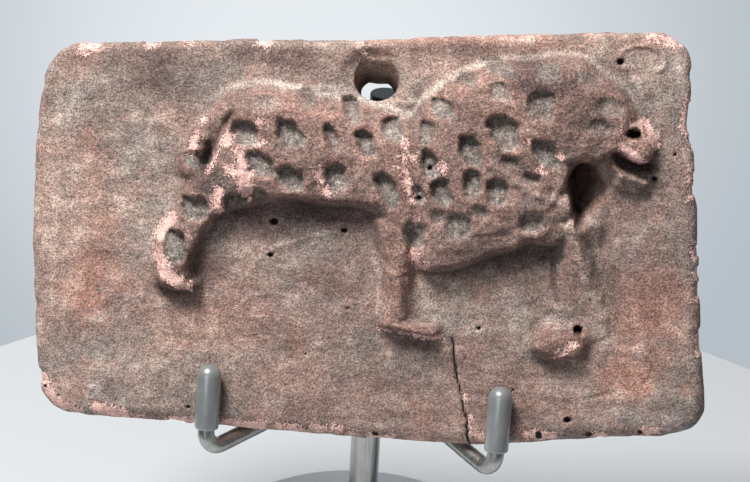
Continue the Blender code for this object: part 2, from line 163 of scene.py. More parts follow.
# %% Masses of the relief
# Each mass: start (across, up, radius), end (across, up, radius), height at start and end.
MASSES = {
    "rump": ((-22.0, 17.4, 11.0), (-18.0, 17.0, 11.2), (5.4, 5.4)),
    "rump_corner": ((-26.4, 23.0, 4.6), (-22.0, 22.6, 5.6), (4.8, 4.8)),
    "loin": ((-20.0, 17.0, 11.4), (2.0, 15.6, 9.9), (4.8, 4.8)),
    "chest": ((5.0, 14.2, 10.4), (15.5, 10.8, 13.0), (5.2, 5.2)),
    "belly": ((13.5, 0.6, 6.6), (30.3, 7.4, 6.2), (4.8, 4.8)),
    "shoulder": ((20.4, 17.4, 15.9), (22.5, 19.2, 16.2), (6.2, 6.2)),
    "neck": ((25.0, 26.0, 10.7), (34.2, 27.4, 10.8), (6.4, 6.4)),
    "head": ((37.0, 26.6, 9.6), (39.6, 26.2, 9.0), (6.0, 6.0)),
    "muzzle": ((42.0, 26.2, 7.8), (49.2, 21.8, 4.6), (5.0, 5.0)),
    "lower_lip": ((45.3, 17.9, 1.8), (47.0, 15.9, 1.8), (3.4, 3.2)),
    "lip_end": ((47.0, 15.9, 1.8), (51.4, 14.7, 1.5), (3.2, 2.2)),
    "jaw": ((46.8, 14.6, 1.9), (50.2, 13.8, 1.5), (2.6, 1.8)),
    "haunch": ((-24.0, 13.0, 9.0), (-32.5, 6.7, 5.6), (4.9, 4.9)),
    "hind_leg": ((-33.5, 5.2, 5.0), (-37.3, -3.0, 4.6), (4.5, 4.5)),
    "hind_foot": ((-37.7, -4.0, 4.6), (-37.5, -9.2, 4.4), (4.3, 4.3)),
    "hind_toe": ((-36.8, -10.6, 3.3), (-34.0, -11.5, 2.1), (3.4, 3.4)),
    "tail_root": ((-29.6, 23.4, 2.4), (-33.2, 17.8, 2.8), (3.6, 3.2)),
    "tail": ((-33.2, 17.8, 2.8), (-35.2, 10.8, 2.8), (3.2, 3.4)),
    "middle_thigh": ((5.2, 4.0, 5.2), (5.7, -5.0, 3.1), (4.2, 4.2)),
    "middle_leg": ((5.6, -5.0, 3.3), (6.0, -14.0, 3.3), (3.4, 3.4)),
    "middle_foot": ((4.7, -16.2, 2.5), (13.3, -17.3, 2.2), (3.4, 3.4)),
    "breast": ((27.0, 12.0, 7.4), (34.2, 10.4, 5.0), (5.6, 4.8)),
    "leg_root": ((30.0, 7.6, 6.6), (33.8, 5.8, 5.2), (5.0, 4.2)),
    "front_leg": ((38.7, 6.0, 3.1), (42.8, -12.0, 5.4), (4.7, 0.7)),
    "paw": ((36.3, -17.8, 4.1), (40.2, -17.5, 4.1), (3.5, 3.5)),
}
MASS_BLEND = 1.5
UNDER_WIDTH = 2.2
UPPER_WIDTH = 4.4
CROWN = 0.22
MASS_WAVER = 0.4
print(len(MASSES), "masses")

# %% [markdown]
# ## Grooves and ridges
# A modelling tool was drawn through the wet clay along the cheek, the mouth and the tail,
# and small rolls of clay were left beside its strokes. Each line is a short path with a
# width and a depth or a rise, and follows the relief like a pencil line on a cushion.

# %% Lines drawn in the clay
# Each line: its points (across, up), its half width, and its depth or its rise.
GROOVES = {
    "cheek": (((23.8, 18.6), (27.4, 16.2), (30.6, 14.0), (33.4, 12.4)), 1.0, 0.6),
    "leg_edge": (((35.3, 0.4), (36.0, -3.5), (36.4, -6.5), (37.3, -10.0)), 0.5, 0.9),
    "tail_inside": (((-27.6, 22.8), (-29.9, 19.2), (-31.4, 15.4), (-32.6, 11.4)), 0.8, 1.5),
    "tail_hatch": (((-31.6, 21.0), (-34.0, 16.4)), 0.9, 0.5),
    "mouth": (((45.6, 19.9), (48.4, 18.3), (52.6, 17.6)), 0.9, 2.8),
    "leg_right": (((44.6, 6.5), (46.2, 0.0), (48.8, -8.2)), 1.5, 0.3),
    "paw_edge": (((32.0, -17.0), (33.6, -13.9), (36.0, -12.2), (38.0, -11.9)), 0.5, 0.2),
    "shoulder_back": (((8.0, 27.6), (8.6, 21.0), (7.4, 13.0)), 1.4, 0.5),
}
RIDGES = {
    "cheek_ridge": (((21.9, 16.6), (26.5, 14.2), (31.1, 11.9), (36.0, 9.6)), 0.6, 0.5),
    "back_line": (((-30.4, 26.2), (-24.6, 29.0), (-14.0, 28.8), (-3.3, 27.2), (3.2, 26.2),
                   (7.6, 27.4), (13.0, 32.2), (20.0, 36.2)), 0.8, 0.25),
    "leg_ridge": (((37.0, 10.5), (39.1, 4.1), (42.7, -4.8), (46.2, -11.7)), 1.4, 0.8),
    "pocket_rim": (((37.9, 16.8), (36.9, 14.4), (36.9, 11.4), (38.0, 8.4), (39.2, 5.6)), 0.45, 0.5),
    "lip": (((44.4, 18.8), (46.9, 16.4), (49.2, 15.6), (52.6, 14.8)), 0.4, 0.4),
    "flow": (((-25.1, -13.3), (-24.0, -9.8), (-21.8, -6.2), (-17.7, -2.9), (-12.5, -0.8),
              (-7.3, 0.6), (-1.9, 0.4)), 0.45, 0.18),
    "flow_low": (((-25.1, -16.0), (-22.7, -13.1), (-18.1, -12.1), (-13.5, -13.4)), 0.45, 0.14),
    "flow_left": (((-53.1, -21.0), (-49.8, -18.7), (-46.5, -15.7), (-43.9, -14.8)), 0.45, 0.14),
    "leg_line": (((0.9, -4.3), (2.2, -7.5), (2.6, -14.8)), 0.4, 0.15),
}
print(len(GROOVES), "grooves,", len(RIDGES), "ridges")

# %% [markdown]
# ## The animal's height
# The height of one mass rises from its rim like a quarter of a sine wave, more steeply
# below than above, which gives the deep shadows under the belly. All masses are then
# joined by a soft maximum, which fills each meeting line as a fingertip would.

# %% Height of the animal


def mass_height(across, up, start, end, height):
    away, along = bar_distance(across, up, start, end)
    radius = start[2] + (end[2] - start[2]) * along
    radius += MASS_WAVER * lumps(across, up, 4.6, 151)
    above = (up - start[1] - (end[1] - start[1]) * along) / np.maximum(away, 0.01)
    width = UNDER_WIDTH + (UPPER_WIDTH - UNDER_WIDTH) * soft_step(-0.5, 0.8, above)
    side = np.clip((radius - away) / np.minimum(width, radius), 0.0, 1.0)
    crown = 1.0 - CROWN * np.clip(away / radius, 0.0, 1.0) ** 2
    top = height[0] + (height[1] - height[0]) * along
    dome = top * crown * np.sin(side * math.pi / 2.0)
    return np.where(away < radius, dome, (radius - away) * 1.4)


def animal(across, up):
    """The relief before its spots: height above the slab, in millimetres."""
    height = np.zeros_like(across)
    for start, end, top in MASSES.values():
        mass = mass_height(across, up, start, end, top)
        height = smooth_max(height, mass, MASS_BLEND)
    return height


sample = animal(np.array([21.5, 0.0]), np.array([18.0, -25.0]))
print("height on the shoulder and beside the animal:", np.round(sample, 1))

# %% [markdown]
# ## Spots and hollows
# The coat's spots were pressed in with a blunt tool: rounded squares, deeper at the top
# where the tool went in. Hollows such as the drop-shaped one under the throat reach below
# the slab's face. Each kind is one small table of places, and a loop presses them in.

# %% Places of the spots and hollows
# Each spot: across, up, width, height and depth. Each hollow has half widths instead.
SPOTS = (
    (-24.7, 19.0, 5.2, 5.5, 1.5), (-16.2, 19.8, 5.0, 5.9, 1.5), (-21.5, 25.2, 4.3, 3.0, 0.8),
    (-13.5, 26.3, 3.1, 3.4, 0.8), (-28.0, 24.0, 2.2, 1.8, 0.5), (-8.3, 19.3, 2.5, 5.3, 1.2),
    (-4.9, 24.7, 3.3, 4.6, 1.2), (-1.6, 18.4, 3.9, 5.3, 1.4), (-21.4, 13.7, 5.2, 4.8, 1.5),
    (-15.7, 11.0, 5.4, 5.5, 1.5), (-7.3, 11.8, 4.8, 5.9, 1.5), (-33.6, 3.9, 5.4, 4.8, 1.5),
    (-25.9, 5.2, 4.6, 5.0, 1.6), (-37.3, -3.9, 4.6, 6.6, 1.5), (3.1, 21.8, 4.3, 4.4, 1.3),
    (2.8, 10.3, 4.1, 6.5, 1.5), (8.9, 9.8, 2.5, 4.4, 1.3), (13.2, 10.8, 3.9, 5.1, 1.5),
    (10.6, 15.7, 3.5, 5.9, 1.5), (9.6, 21.7, 2.8, 4.4, 1.1), (12.2, 26.5, 4.6, 4.4, 1.2),
    (8.7, 1.6, 3.9, 6.0, 1.0), (16.9, 4.5, 5.0, 5.5, 1.1), (16.3, 32.0, 3.9, 2.6, 0.9),
    (22.5, 34.6, 4.8, 3.2, 0.9), (22.6, 30.6, 4.3, 4.0, 1.1), (18.1, 18.9, 4.6, 6.3, 1.6),
    (24.0, 23.0, 6.2, 6.7, 1.8), (18.8, 12.8, 3.9, 5.4, 1.4), (23.8, 11.8, 4.6, 4.8, 1.6),
    (30.5, 6.2, 5.2, 4.4, 1.2), (30.4, 28.5, 5.2, 5.5, 1.1), (31.3, 34.6, 4.6, 3.0, 0.7),
    (38.8, 34.0, 4.2, 3.0, 0.6), (43.8, 29.2, 5.0, 3.4, 0.7), (32.2, 19.7, 5.8, 5.1, 1.4),
    (41.6, 25.2, 4.6, 3.0, 0.6), (13.4, 5.6, 3.0, 3.0, 0.7), (21.0, 7.4, 3.0, 2.6, 0.8),
    (-21.6, 6.8, 4.2, 3.6, 1.2),
    (26.0, 17.5, 3.6, 2.2, 0.7), (30.2, 14.5, 3.4, 2.0, 0.7), (-34.3, 13.0, 4.4, 3.4, 1.3),
)
HOLLOWS = ((48.4, 24.2, 1.5, 1.0, 3.0), (41.6, -15.0, 1.0, 0.9, 2.6))
POCKET = ((40.5, 14.0, 4.0), (39.8, 6.6, 1.3), 5.4)
SPOT_SLANT = 0.22
SPOT_POWER = 2.4
print(len(SPOTS), "spots,", len(HOLLOWS), "hollows and the pocket", POCKET)

# %% [markdown]
# ## Pores, cracks and chips
# Small stones and air left round pores, the slab cracked below the middle leg, and knocks
# took flakes off the rim and the raised forms, down to the pale pink clay. They are kept
# just as found. A chip is a short line with a reach, and noise breaks its outline.

# %% Places of the damage
# Each pore: across, up and radius.
PORES = (
    (-18.8, 1.7, 0.9), (-5.1, 1.0, 0.7), (-19.1, -4.8, 0.6), (-3.4, -14.2, 0.4),
    (22.4, -16.2, 0.5), (20.4, -22.6, 0.3), (45.0, 37.4, 0.8), (53.6, 15.6, 0.6),
    (57.0, 20.6, 0.4), (43.4, -8.6, 0.3), (41.2, -33.4, 0.8), (35.8, -37.0, 1.0),
    (45.7, -36.2, 0.9), (56.4, -33.3, 0.6), (55.6, -34.8, 0.7), (3.7, -39.4, 0.9),
    (-33.6, -36.7, 0.4), (-62.4, -34.8, 0.5), (-56.7, -37.6, 0.4), (8.9, 9.1, 0.6),
    (10.6, 15.1, 0.6), (-11.0, -24.0, 0.3), (30.0, -28.0, 0.3), (-46.0, 8.0, 0.3),
)
# Each crack: its points, its half width, its depth, and how dark it is.
CRACKS = (
    (((17.2, -18.4), (18.2, -22.8), (18.7, -25.0), (19.2, -27.2), (20.2, -31.0),
      (21.4, -35.1), (22.3, -40.5)), 0.10, 0.7, 0.9),
    (((10.7, 23.4), (11.4, 19.2)), 0.05, 0.3, 0.5),
    (((51.1, -19.4), (54.5, -20.5)), 0.06, 0.2, 0.5),
    (((56.8, -21.5), (55.4, -25.1)), 0.06, 0.2, 0.5),
    (((44.0, -28.9), (49.7, -27.1)), 0.20, 0.3, 0.2),
    (((-53.2, -21.4), (-46.8, -16.6)), 0.14, 0.2, 0.1),
)
# Each chip: the two ends of its line, and its reach round that line.
CHIPS = (
    ((-57.5, 32.6), (-54.5, 33.4), 1.0), ((-44.6, 34.3), (-43.2, 34.4), 0.6),
    ((-37.8, 35.4), (-36.6, 35.5), 0.4), ((-23.6, 36.0), (-22.2, 36.1), 0.9),
    ((-4.4, 37.0), (-3.8, 36.2), 0.7), ((50.5, 42.3), (56.0, 41.8), 0.9),
    ((58.6, 31.0), (58.9, 28.8), 0.7), ((58.2, 28.0), (58.8, 25.6), 0.9),
    ((59.2, 24.8), (59.8, 22.0), 0.6), ((60.4, 18.2), (60.9, 15.8), 0.7),
    ((60.8, 15.0), (61.2, 12.6), 1.0), ((62.8, 2.4), (63.0, 0.4), 0.8),
    ((63.4, -1.8), (63.7, -3.4), 0.6), ((64.0, -4.6), (64.4, -7.0), 0.8),
    ((65.4, -13.6), (65.8, -15.0), 0.6), ((65.4, -15.8), (66.0, -17.6), 1.0),
    ((-63.8, -32.6), (-61.8, -35.6), 1.2), ((-61.6, -36.0), (-59.2, -38.6), 1.1),
    ((-58.9, -38.9), (-55.3, -39.6), 0.8), ((-52.2, -38.2), (-46.6, -39.4), 1.4),
    ((-44.6, -39.6), (-42.8, -39.7), 0.5), ((-37.2, -40.0), (-32.8, -39.9), 0.8),
    ((-25.9, -39.4), (-18.9, -39.6), 1.1), ((-15.3, -39.4), (-11.4, -39.3), 0.9),
    ((-8.4, -39.1), (-3.4, -39.0), 1.0), ((-1.4, -39.7), (-0.6, -39.7), 0.6),
    ((2.6, -39.9), (7.0, -39.9), 0.6), ((10.6, -40.2), (12.0, -40.2), 0.3),
    ((33.4, -37.2), (38.2, -37.2), 1.0), ((46.6, -36.4), (48.4, -36.2), 0.8),
    ((56.4, -34.4), (58.6, -34.2), 0.9), ((-30.6, -39.7), (-28.6, -39.7), 0.4),
    ((-38.6, 1.4), (-40.6, -1.8), 1.15), ((-40.8, -5.8), (-39.2, -8.6), 1.5),
    ((-38.8, -9.2), (-35.2, -11.4), 1.3), ((-29.6, 8.0), (-29.5, 3.8), 0.9),
    ((-28.6, 17.2), (-27.7, 18.8), 0.75), ((-27.0, 15.8), (-25.4, 15.4), 0.5),
    ((-25.2, 15.4), (-25.0, 12.4), 0.8), ((-24.6, 11.4), (-24.3, 8.4), 1.4),
    ((-27.8, 12.4), (-25.0, 11.4), 0.8), ((-29.7, 15.8), (-31.6, 11.4), 0.25),
    ((-23.2, 16.0), (-21.5, 18.2), 0.5), ((-22.9, 21.8), (-20.8, 21.5), 0.4),
    ((-34.2, 17.8), (-35.5, 14.6), 0.75), ((-33.0, 21.0), (-33.5, 20.2), 0.35),
    ((-10.4, 13.2), (-10.2, 11.2), 0.6), ((-9.8, 10.6), (-8.2, 8.4), 0.6),
    ((5.6, 20.2), (5.5, 15.9), 0.55),
    ((5.4, 15.6), (6.4, 12.2), 0.6), ((6.6, 11.8), (7.6, 9.0), 0.5),
    ((6.4, 17.4), (7.6, 16.8), 0.5), ((4.0, 15.2), (5.0, 14.8), 0.4),
    ((12.8, 16.0), (13.2, 14.8), 0.5), ((8.6, 5.4), (8.4, 4.4), 0.4),
    ((8.4, -1.6), (10.0, -4.6), 0.7), ((11.2, -3.6), (11.4, -5.2), 0.6),
    ((5.8, -7.0), (7.4, -7.4), 0.5), ((2.9, -17.6), (5.0, -18.0), 0.4),
    ((7.4, -18.0), (15.0, -18.6), 0.45), ((40.6, -17.4), (37.6, -20.2), 0.6),
    ((34.0, 19.9), (35.0, 19.4), 0.4), ((31.2, 16.6), (32.2, 16.0), 0.4),
    ((47.0, 25.4), (50.8, 26.4), 0.9), ((51.2, 26.0), (53.0, 22.0), 0.8),
    ((45.8, 22.4), (51.0, 18.9), 0.9), ((20.5, -29.4), (20.7, -30.8), 0.4),
    ((22.0, -34.6), (22.4, -36.8), 0.4), ((22.8, -37.6), (25.0, -38.4), 0.7),
    ((28.4, 22.0), (28.6, 21.6), 0.2), ((24.6, 26.6), (25.0, 26.6), 0.2),
)
print(len(PORES), "pores,", len(CRACKS), "cracks,", len(CHIPS), "chips")

# %% [markdown]
# ## The shapes of the marks
# A pressed spot is a rounded square that leans a little, each by its own amount. The
# pocket is a tapered bar, crisp on one side and open on the other. The chips share one
# field that says how far inside a chip a point lies, so the material can find their rims.

# %% Shapes of the marks


def pressed(across, up, centre_across, centre_up, half_width, half_height, depth):
    """A leaning rounded-square mark, with how far inside it each point is, from 0 to 1."""
    sway = 0.17 * lumps(across, up, 1.9, 71) + 0.08 * lumps(across, up, 0.8, 73)
    slant = SPOT_SLANT + 0.2 * math.sin(3.1 * centre_across + 1.7 * centre_up)
    leaning = across - centre_across + slant * (up - centre_up)
    side = np.abs(leaning / half_width) ** SPOT_POWER
    tall = np.abs((up - centre_up) / half_height) ** SPOT_POWER
    reach = (side + tall) ** (1.0 / SPOT_POWER) + sway
    softness = 0.30 * soft_step(1.3, 0.8, depth)
    share = soft_step(1.13 + softness, 0.72 - softness, reach)
    slope = 1.0 + 0.45 * np.clip((up - centre_up) / half_height, -1.0, 1.0)
    return depth * share * slope, share


def throat_pocket(across, up):
    """A drop-shaped bowl, crisp towards the shoulder and running out softly to the right."""
    start, end, depth = POCKET
    away, along = bar_distance(across, up, start, end)
    radius = start[2] + (end[2] - start[2]) * along + 0.2 * lumps(across, up, 2.0, 72)
    inside = radius - away
    openness = soft_step(-1.5, 3.0, across - start[0] - (end[0] - start[0]) * along)
    share = soft_step(-0.3 - openness, 1.2 + 1.9 * openness, inside)
    # The gloom is painted shade, darkest inside the bowl.
    gloom = soft_step(-0.1 - 0.3 * openness, 1.9 + 1.9 * openness, inside)
    return depth * share, 0.85 * gloom


def chip_field(across, up):
    """Millimetres inside the nearest chip, negative outside, with a broken outline."""
    field = np.full(across.shape, -9.0)
    for start, end, reach in CHIPS:
        field = np.maximum(field, reach - bar_distance(across, up, start, end)[0])
    ragged = 0.44 * lumps(across, up, 1.3, 81) + 0.26 * lumps(across, up, 0.55, 82)
    return field + ragged


print("depth of the pocket's middle:", throat_pocket(np.array([40.3]), np.array([11.0]))[0].round(1))

# %% [markdown]
# ## One height for the whole face
# The slab's own face is a little uneven, with a faint raised rim by its left edge, a soft
# step at the lower right, part of a ring mark near the upper right corner and a shallow
# dish round the hole. Each kind of mark has a function for its depth and where it lies.

# %% Height of the face
DEEPEST_SHADE = 2.6
GROOVE_SHADE = 0.3
SPOT_DEPTH = 1.08
PORE_DEPTH = 1.5
CHIP_DEPTH = 0.30


def ground(across, up):
    uneven = 0.30 * rough(across, up, 17.0, 11) + 0.10 * rough(across, up, 4.0, 21)
    rim = 0.35 * np.exp(-(((across + 61.0) / 0.9) ** 2)) * soft_step(-27.0, -20.0, up)
    rim *= soft_step(30.0, 24.0, up)
    step = 0.35 * soft_step(-30.0, -28.4, up) * soft_step(18.0, 24.0, across)
    corner = 0.4 * np.exp(-((np.hypot(across - 49.0, (up - 38.0) * 1.6) - 4.4) / 0.7) ** 2)
    dish = 1.4 * soft_step(1.35, 0.75, np.hypot((across + 1.2) / 5.3, (up - 31.2) / 5.0))
    return uneven + rim + step * 0.5 + corner * (up > 36.0) - dish


def drawn_lines(across, up, lines, shade):
    """The summed height of lines drawn along paths, and how strongly they colour a point."""
    total = np.zeros_like(across)
    strongest = np.zeros_like(across)
    for points, half_width, amount in lines.values():
        line = np.exp(-((path_distance(across, up, points) / half_width) ** 2))
        total += amount * line
        strongest = np.maximum(strongest, shade(amount) * line)
    return total, strongest


def groove_shade(depth):
    return GROOVE_SHADE * min(depth, DEEPEST_SHADE)


def pressed_spots(across, up):
    """How deep the spots are, where they lie, and where their deeper tops lie, which get painted
    shade.
    """
    total = np.zeros_like(across)
    spots = np.zeros_like(across)
    tops = np.zeros_like(across)
    for centre_across, centre_up, width, tall, depth in SPOTS:
        cut, share = pressed(across, up, centre_across, centre_up, width / 2, tall / 2, depth)
        total += SPOT_DEPTH * cut
        spots = np.maximum(spots, share * min(depth / 1.3, 1.0))
        tops = np.maximum(tops, share * soft_step(-0.9, 0.9, (up - centre_up) / (tall / 2)))
    return total, spots, tops


def pressed_pores(across, up):
    total = np.zeros_like(across)
    pores = np.zeros_like(across)
    for centre_across, centre_up, radius in PORES:
        away = np.hypot(across - centre_across, (up - centre_up) * 1.2)
        dent = soft_step(radius * 1.15, radius * 0.55, away)
        total += PORE_DEPTH * radius * dent
        pores = np.maximum(pores, dent)
    return total, pores


def open_cracks(across, up):
    total = np.zeros_like(across)
    cracks = np.zeros_like(across)
    sway = 0.25 * lumps(across, up, 1.6, 51) + 0.12 * lumps(across, up, 0.7, 52)
    for points, half_width, depth, darkness in CRACKS:
        away = path_distance(across + sway, up, points)
        total += depth * np.exp(-((away / (half_width + 0.22)) ** 2))
        cracks = np.maximum(cracks, darkness * np.exp(-((away / (half_width + 0.16)) ** 2)))
    return total, cracks


# %% [markdown]
# ## Everything on one height
# The order matters: the animal stands on the slab's ground, the lines follow its swelling,
# and spots, hollows and damage are cut in last, so that they keep their full depth. The
# same pass returns masks, so the colours can't drift away from the shapes.

# %% Finished height of the face


def fine_relief(across, up):
    """Height of the finished face, and a dictionary of masks for the materials."""
    body = animal(across, up)
    on_body = soft_step(0.3, 2.2, body)
    lively = 0.40 * rough(across, up, 6.5, 31) + 0.20 * rough(across, up, 2.2, 41)
    height = ground(across, up) * (1.0 - 0.6 * on_body) + body + lively * on_body
    waver = 0.35 * lumps(across, up, 2.6, 161)
    raised, ridge = drawn_lines(across + waver, up + waver, RIDGES, lambda rise: 1.0)
    drawn, hollow = drawn_lines(across, up, GROOVES, groove_shade)
    spotted, spots, tops = pressed_spots(across, up)
    height += raised - drawn - spotted
    for spec in HOLLOWS:
        cut, share = pressed(across, up, *spec)
        height -= cut
        hollow = np.maximum(hollow, share)
    pocketed, gloom = throat_pocket(across, up)
    pitted, pores = pressed_pores(across, up)
    split, cracks = open_cracks(across, up)
    field = chip_field(across, up)
    flaked = soft_step(-0.12, 0.3, field) * (CHIP_DEPTH + 0.12 * lumps(across, up, 0.9, 61))
    height -= pocketed + pitted + split + flaked
    return height, {
        "chip": field,
        "body": on_body,
        "spot": spots,
        "spot_shaded_top": tops,
        "hollow": np.maximum(hollow, gloom),
        "ridge": ridge,
        "pore": pores,
        "crack": cracks,
    }


trial, _ = fine_relief(np.array([24.0, 24.0]), np.array([23.0, 18.0]))
print("height inside the largest spot and beside it:", trial.round(1))

# %% [markdown]
# ## The slab's outline
# Four nearly straight sides meet in round corners, and the right side is the taller one.
# The top sags a little over the hole, and the rim has worn dents. Each side is a short
# formula of its own, so one side can be moved without redrawing the rest.

# %% Edges of the slab
LEFT_EDGE = -66.2
LEFT_BOW = 1.9
RIGHT_EDGE = 63.8
RIGHT_SLOPE = -0.15
TOP_EDGE = 38.75
TOP_SLOPE = 0.088
TOP_SAG = 0.6
SAG_ACROSS = -6.0
SAG_WIDTH = 9.0
BOTTOM_EDGE = -40.85
BOTTOM_RISE = 0.135
BOTTOM_RISE_START = 22.0
CORNER_RADII = (6.5, 6.0, 6.5, 9.0)
ACROSS_CELLS = 332
UP_CELLS = 208
COARSER = 4
# Each dent: across, up, reach and depth.
DENTS = ((60.0, 26.4, 2.6, 0.55), (62.4, 13.4, 2.0, 0.35), (66.4, -15.0, 2.6, 0.3),
         (-66.0, -19.0, 2.0, 0.3), (-64.6, 24.0, 2.5, 0.3), (-61.0, -37.0, 2.5, 0.5))


def left_at(up):
    return LEFT_EDGE + LEFT_BOW * ((up - 4.0) / 38.0) ** 2


def right_at(up):
    return RIGHT_EDGE + RIGHT_SLOPE * up


def top_at(across):
    sag = TOP_SAG * math.exp(-(((across - SAG_ACROSS) / SAG_WIDTH) ** 2))
    return TOP_EDGE + TOP_SLOPE * across - sag


def bottom_at(across):
    return BOTTOM_EDGE + BOTTOM_RISE * max(across - BOTTOM_RISE_START, 0.0)


print("corners in turn are round by", CORNER_RADII)

# %% [markdown]
# ## Walking round the outline
# Arcs and sides are joined into one path and cut into even steps, as many along each side
# as the face grid has cells, so that the rim and the grid share their points. Smoothing,
# noise and the dents then follow along the outward direction.

# %% Outline


def corner_arc(corner, before, after, radius):
    """Points round a corner, from the side before it to the side after it."""
    corner, before, after = Vector(corner), Vector(before), Vector(after)
    way_in, way_out = (before - corner).normalized(), (after - corner).normalized()
    half = way_in.angle(way_out) / 2.0
    centre = corner + (way_in + way_out).normalized() * radius / math.sin(half)
    first = corner + way_in * radius / math.tan(half) - centre
    last = corner + way_out * radius / math.tan(half) - centre
    spokes = [first.lerp(last, step / 20).normalized() * radius for step in range(21)]
    return [centre + spoke for spoke in spokes]


def walk(points, count):
    """The same path in count even steps."""
    points = np.array(points)
    lengths = np.hypot(*np.diff(points, axis=0).T)
    reached = np.concatenate([[0.0], np.cumsum(lengths)])
    marks = np.linspace(0.0, reached[-1], count + 1)
    return np.stack([np.interp(marks, reached, points[:, axis]) for axis in (0, 1)], axis=1)


def slab_outline():
    """Closed outline in even steps, anticlockwise from the lower left corner's middle."""
    corners = (
        (left_at(-36.0), bottom_at(-60.0)), (right_at(-34.0), bottom_at(66.0)),
        (right_at(42.0), top_at(58.0)), (left_at(30.0), top_at(-64.0)),
    )
    arcs = []
    for index, corner in enumerate(corners):
        before, after = corners[index - 1], corners[(index + 1) % 4]
        arcs.append(corner_arc(corner, before, after, CORNER_RADII[index]))
    on_side = (
        lambda p: (p.x, max(bottom_at(p.x), BOTTOM_EDGE)),
        lambda p: (right_at(p.y), p.y),
        lambda p: (p.x, top_at(p.x)),
        lambda p: (left_at(p.y), p.y),
    )
    sides = []
    for index in range(4):
        start, end = arcs[index], arcs[(index + 1) % 4]
        middle = [on_side[index](start[-1].lerp(end[0], step / 40)) for step in range(1, 40)]
        path = [tuple(p) for p in start[10:]] + middle + [tuple(p) for p in end[:11]]
        count = ACROSS_CELLS if index % 2 == 0 else UP_CELLS
        sides.append(walk(path, count)[:-1])
    outline = np.concatenate(sides)
    for _ in range(12):
        outline = (np.roll(outline, 1, 0) + 2.0 * outline + np.roll(outline, -1, 0)) / 4.0
    return outline


def outward(outline):
    run = np.roll(outline, -1, 0) - np.roll(outline, 1, 0)
    normal = np.stack([run[:, 1], -run[:, 0]], axis=1)
    return normal / np.hypot(*normal.T)[:, None]


outline = slab_outline()
normals = outward(outline)
wobble = 0.28 * rough(outline[:, 0], outline[:, 1], 9.0, 91, 4)
for centre_across, centre_up, reach, depth in DENTS:
    away = np.hypot(outline[:, 0] - centre_across, outline[:, 1] - centre_up)
    wobble -= depth * np.exp(-((away / reach) ** 2))
outline = outline + normals * wobble[:, None]
print("outline of", len(outline), "points,",
      "wide", round(np.ptp(outline[:, 0]), 1), "tall", round(np.ptp(outline[:, 1]), 1))

# %% [markdown]
# ## The slab as one dense mesh
# A grid fitted inside the outline carries the face, rings go over the rounded edge and
# round the side, and a grid four times coarser closes the back, where little shows.
# A modelled grid with a displace modifier would stretch at the rim; setting each vertex
# from the height function keeps spots and chips crisp.

# %% Grids and rings
FRONT_ROUNDING_TOP = 1.5
FRONT_ROUNDING_BOTTOM = 3.5
BACK_ROUNDING = 4.5
BACK_INSET = 1.0
BACK_FIELD = 0.972
RING_STEP = 0.38
FRONT_ANGLES = (18, 36, 54, 72, 90)
BACK_ANGLES = (0, 18, 36, 54, 72, 90)


def front_rounding(up):
    share = np.clip((up - BOTTOM_EDGE) / (TOP_EDGE - BOTTOM_EDGE), 0.0, 1.0)
    return FRONT_ROUNDING_BOTTOM + (FRONT_ROUNDING_TOP - FRONT_ROUNDING_BOTTOM) * share


def filled_patch(ring, cells_across, cells_up):
    """A grid of points spread evenly inside a ring that runs anticlockwise from a corner."""
    a, b = cells_across, cells_up
    low, right = ring[: a + 1], ring[a : a + b + 1]
    top = ring[a + b : 2 * a + b + 1][::-1]
    left = np.concatenate([ring[2 * a + b :], ring[:1]])[::-1]
    s = np.linspace(0.0, 1.0, a + 1)[None, :, None]
    t = np.linspace(0.0, 1.0, b + 1)[:, None, None]
    across = (1 - t) * low[None] + t * top[None] + (1 - s) * left[:, None] + s * right[:, None]
    corners = (1 - s) * (1 - t) * low[0] + s * (1 - t) * low[-1]
    corners = corners + (1 - s) * t * top[0] + s * t * top[-1]
    return across - corners


def ring_of(grid):
    """Indices round a grid of indices, in the same order as its ring."""
    return np.concatenate([grid[0, :-1], grid[:-1, -1], grid[-1, :0:-1], grid[:0:-1, 0]])


def quads(grid):
    return np.stack([grid[:-1, :-1], grid[:-1, 1:], grid[1:, 1:], grid[1:, :-1]], -1)


def ring_inset(part, amount, rounding):
    """How far inside the outline a ring runs, and how deep, on the way round the edge."""
    angle = math.radians(amount)
    if part == "front":
        return rounding * (1.0 - math.sin(angle)), rounding * (1.0 - math.cos(angle))
    if part == "side":
        wall = THICKNESS - BACK_ROUNDING - rounding
        return np.full(len(outline), BACK_INSET * amount), rounding + wall * amount
    inset = BACK_INSET + BACK_ROUNDING * (1.0 - math.cos(angle))
    depth = THICKNESS - BACK_ROUNDING * (1.0 - math.sin(angle))
    return np.full(len(outline), inset), np.full(len(outline), depth)


def back_field():
    """The coarse grid of the back: flat at its rim and slightly sunken inside it."""
    coarse = BACK_FIELD * (outline - normals * (BACK_INSET + BACK_ROUNDING))[::COARSER]
    grid = filled_patch(coarse, ACROSS_CELLS // COARSER, UP_CELLS // COARSER)
    across, up = grid[..., 0], grid[..., 1]
    sag = 0.25 * rough(across, up, 14.0, 111) + 0.10 * rough(across, up, 4.0, 121) - 0.1
    to_side = np.minimum(across - across[:, :1], across[:, -1:] - across)
    to_rim = np.minimum(to_side, np.minimum(up - up[:1], up[-1:] - up))
    sag = np.minimum(sag, 0.05) * soft_step(0.0, 9.0, to_rim)
    return place(across, up, -THICKNESS - sag)


print("rings round the edge:", len(FRONT_ANGLES) + 1 + len(BACK_ANGLES))

# %% [markdown]
# ## Putting the slab together
# Face, rings and back become one list of points and one of faces. Where the fine rings
# meet the coarse back, each coarse step takes four fine ones into one long face, so the
# mesh stays closed without more points behind.

# %% Build the slab


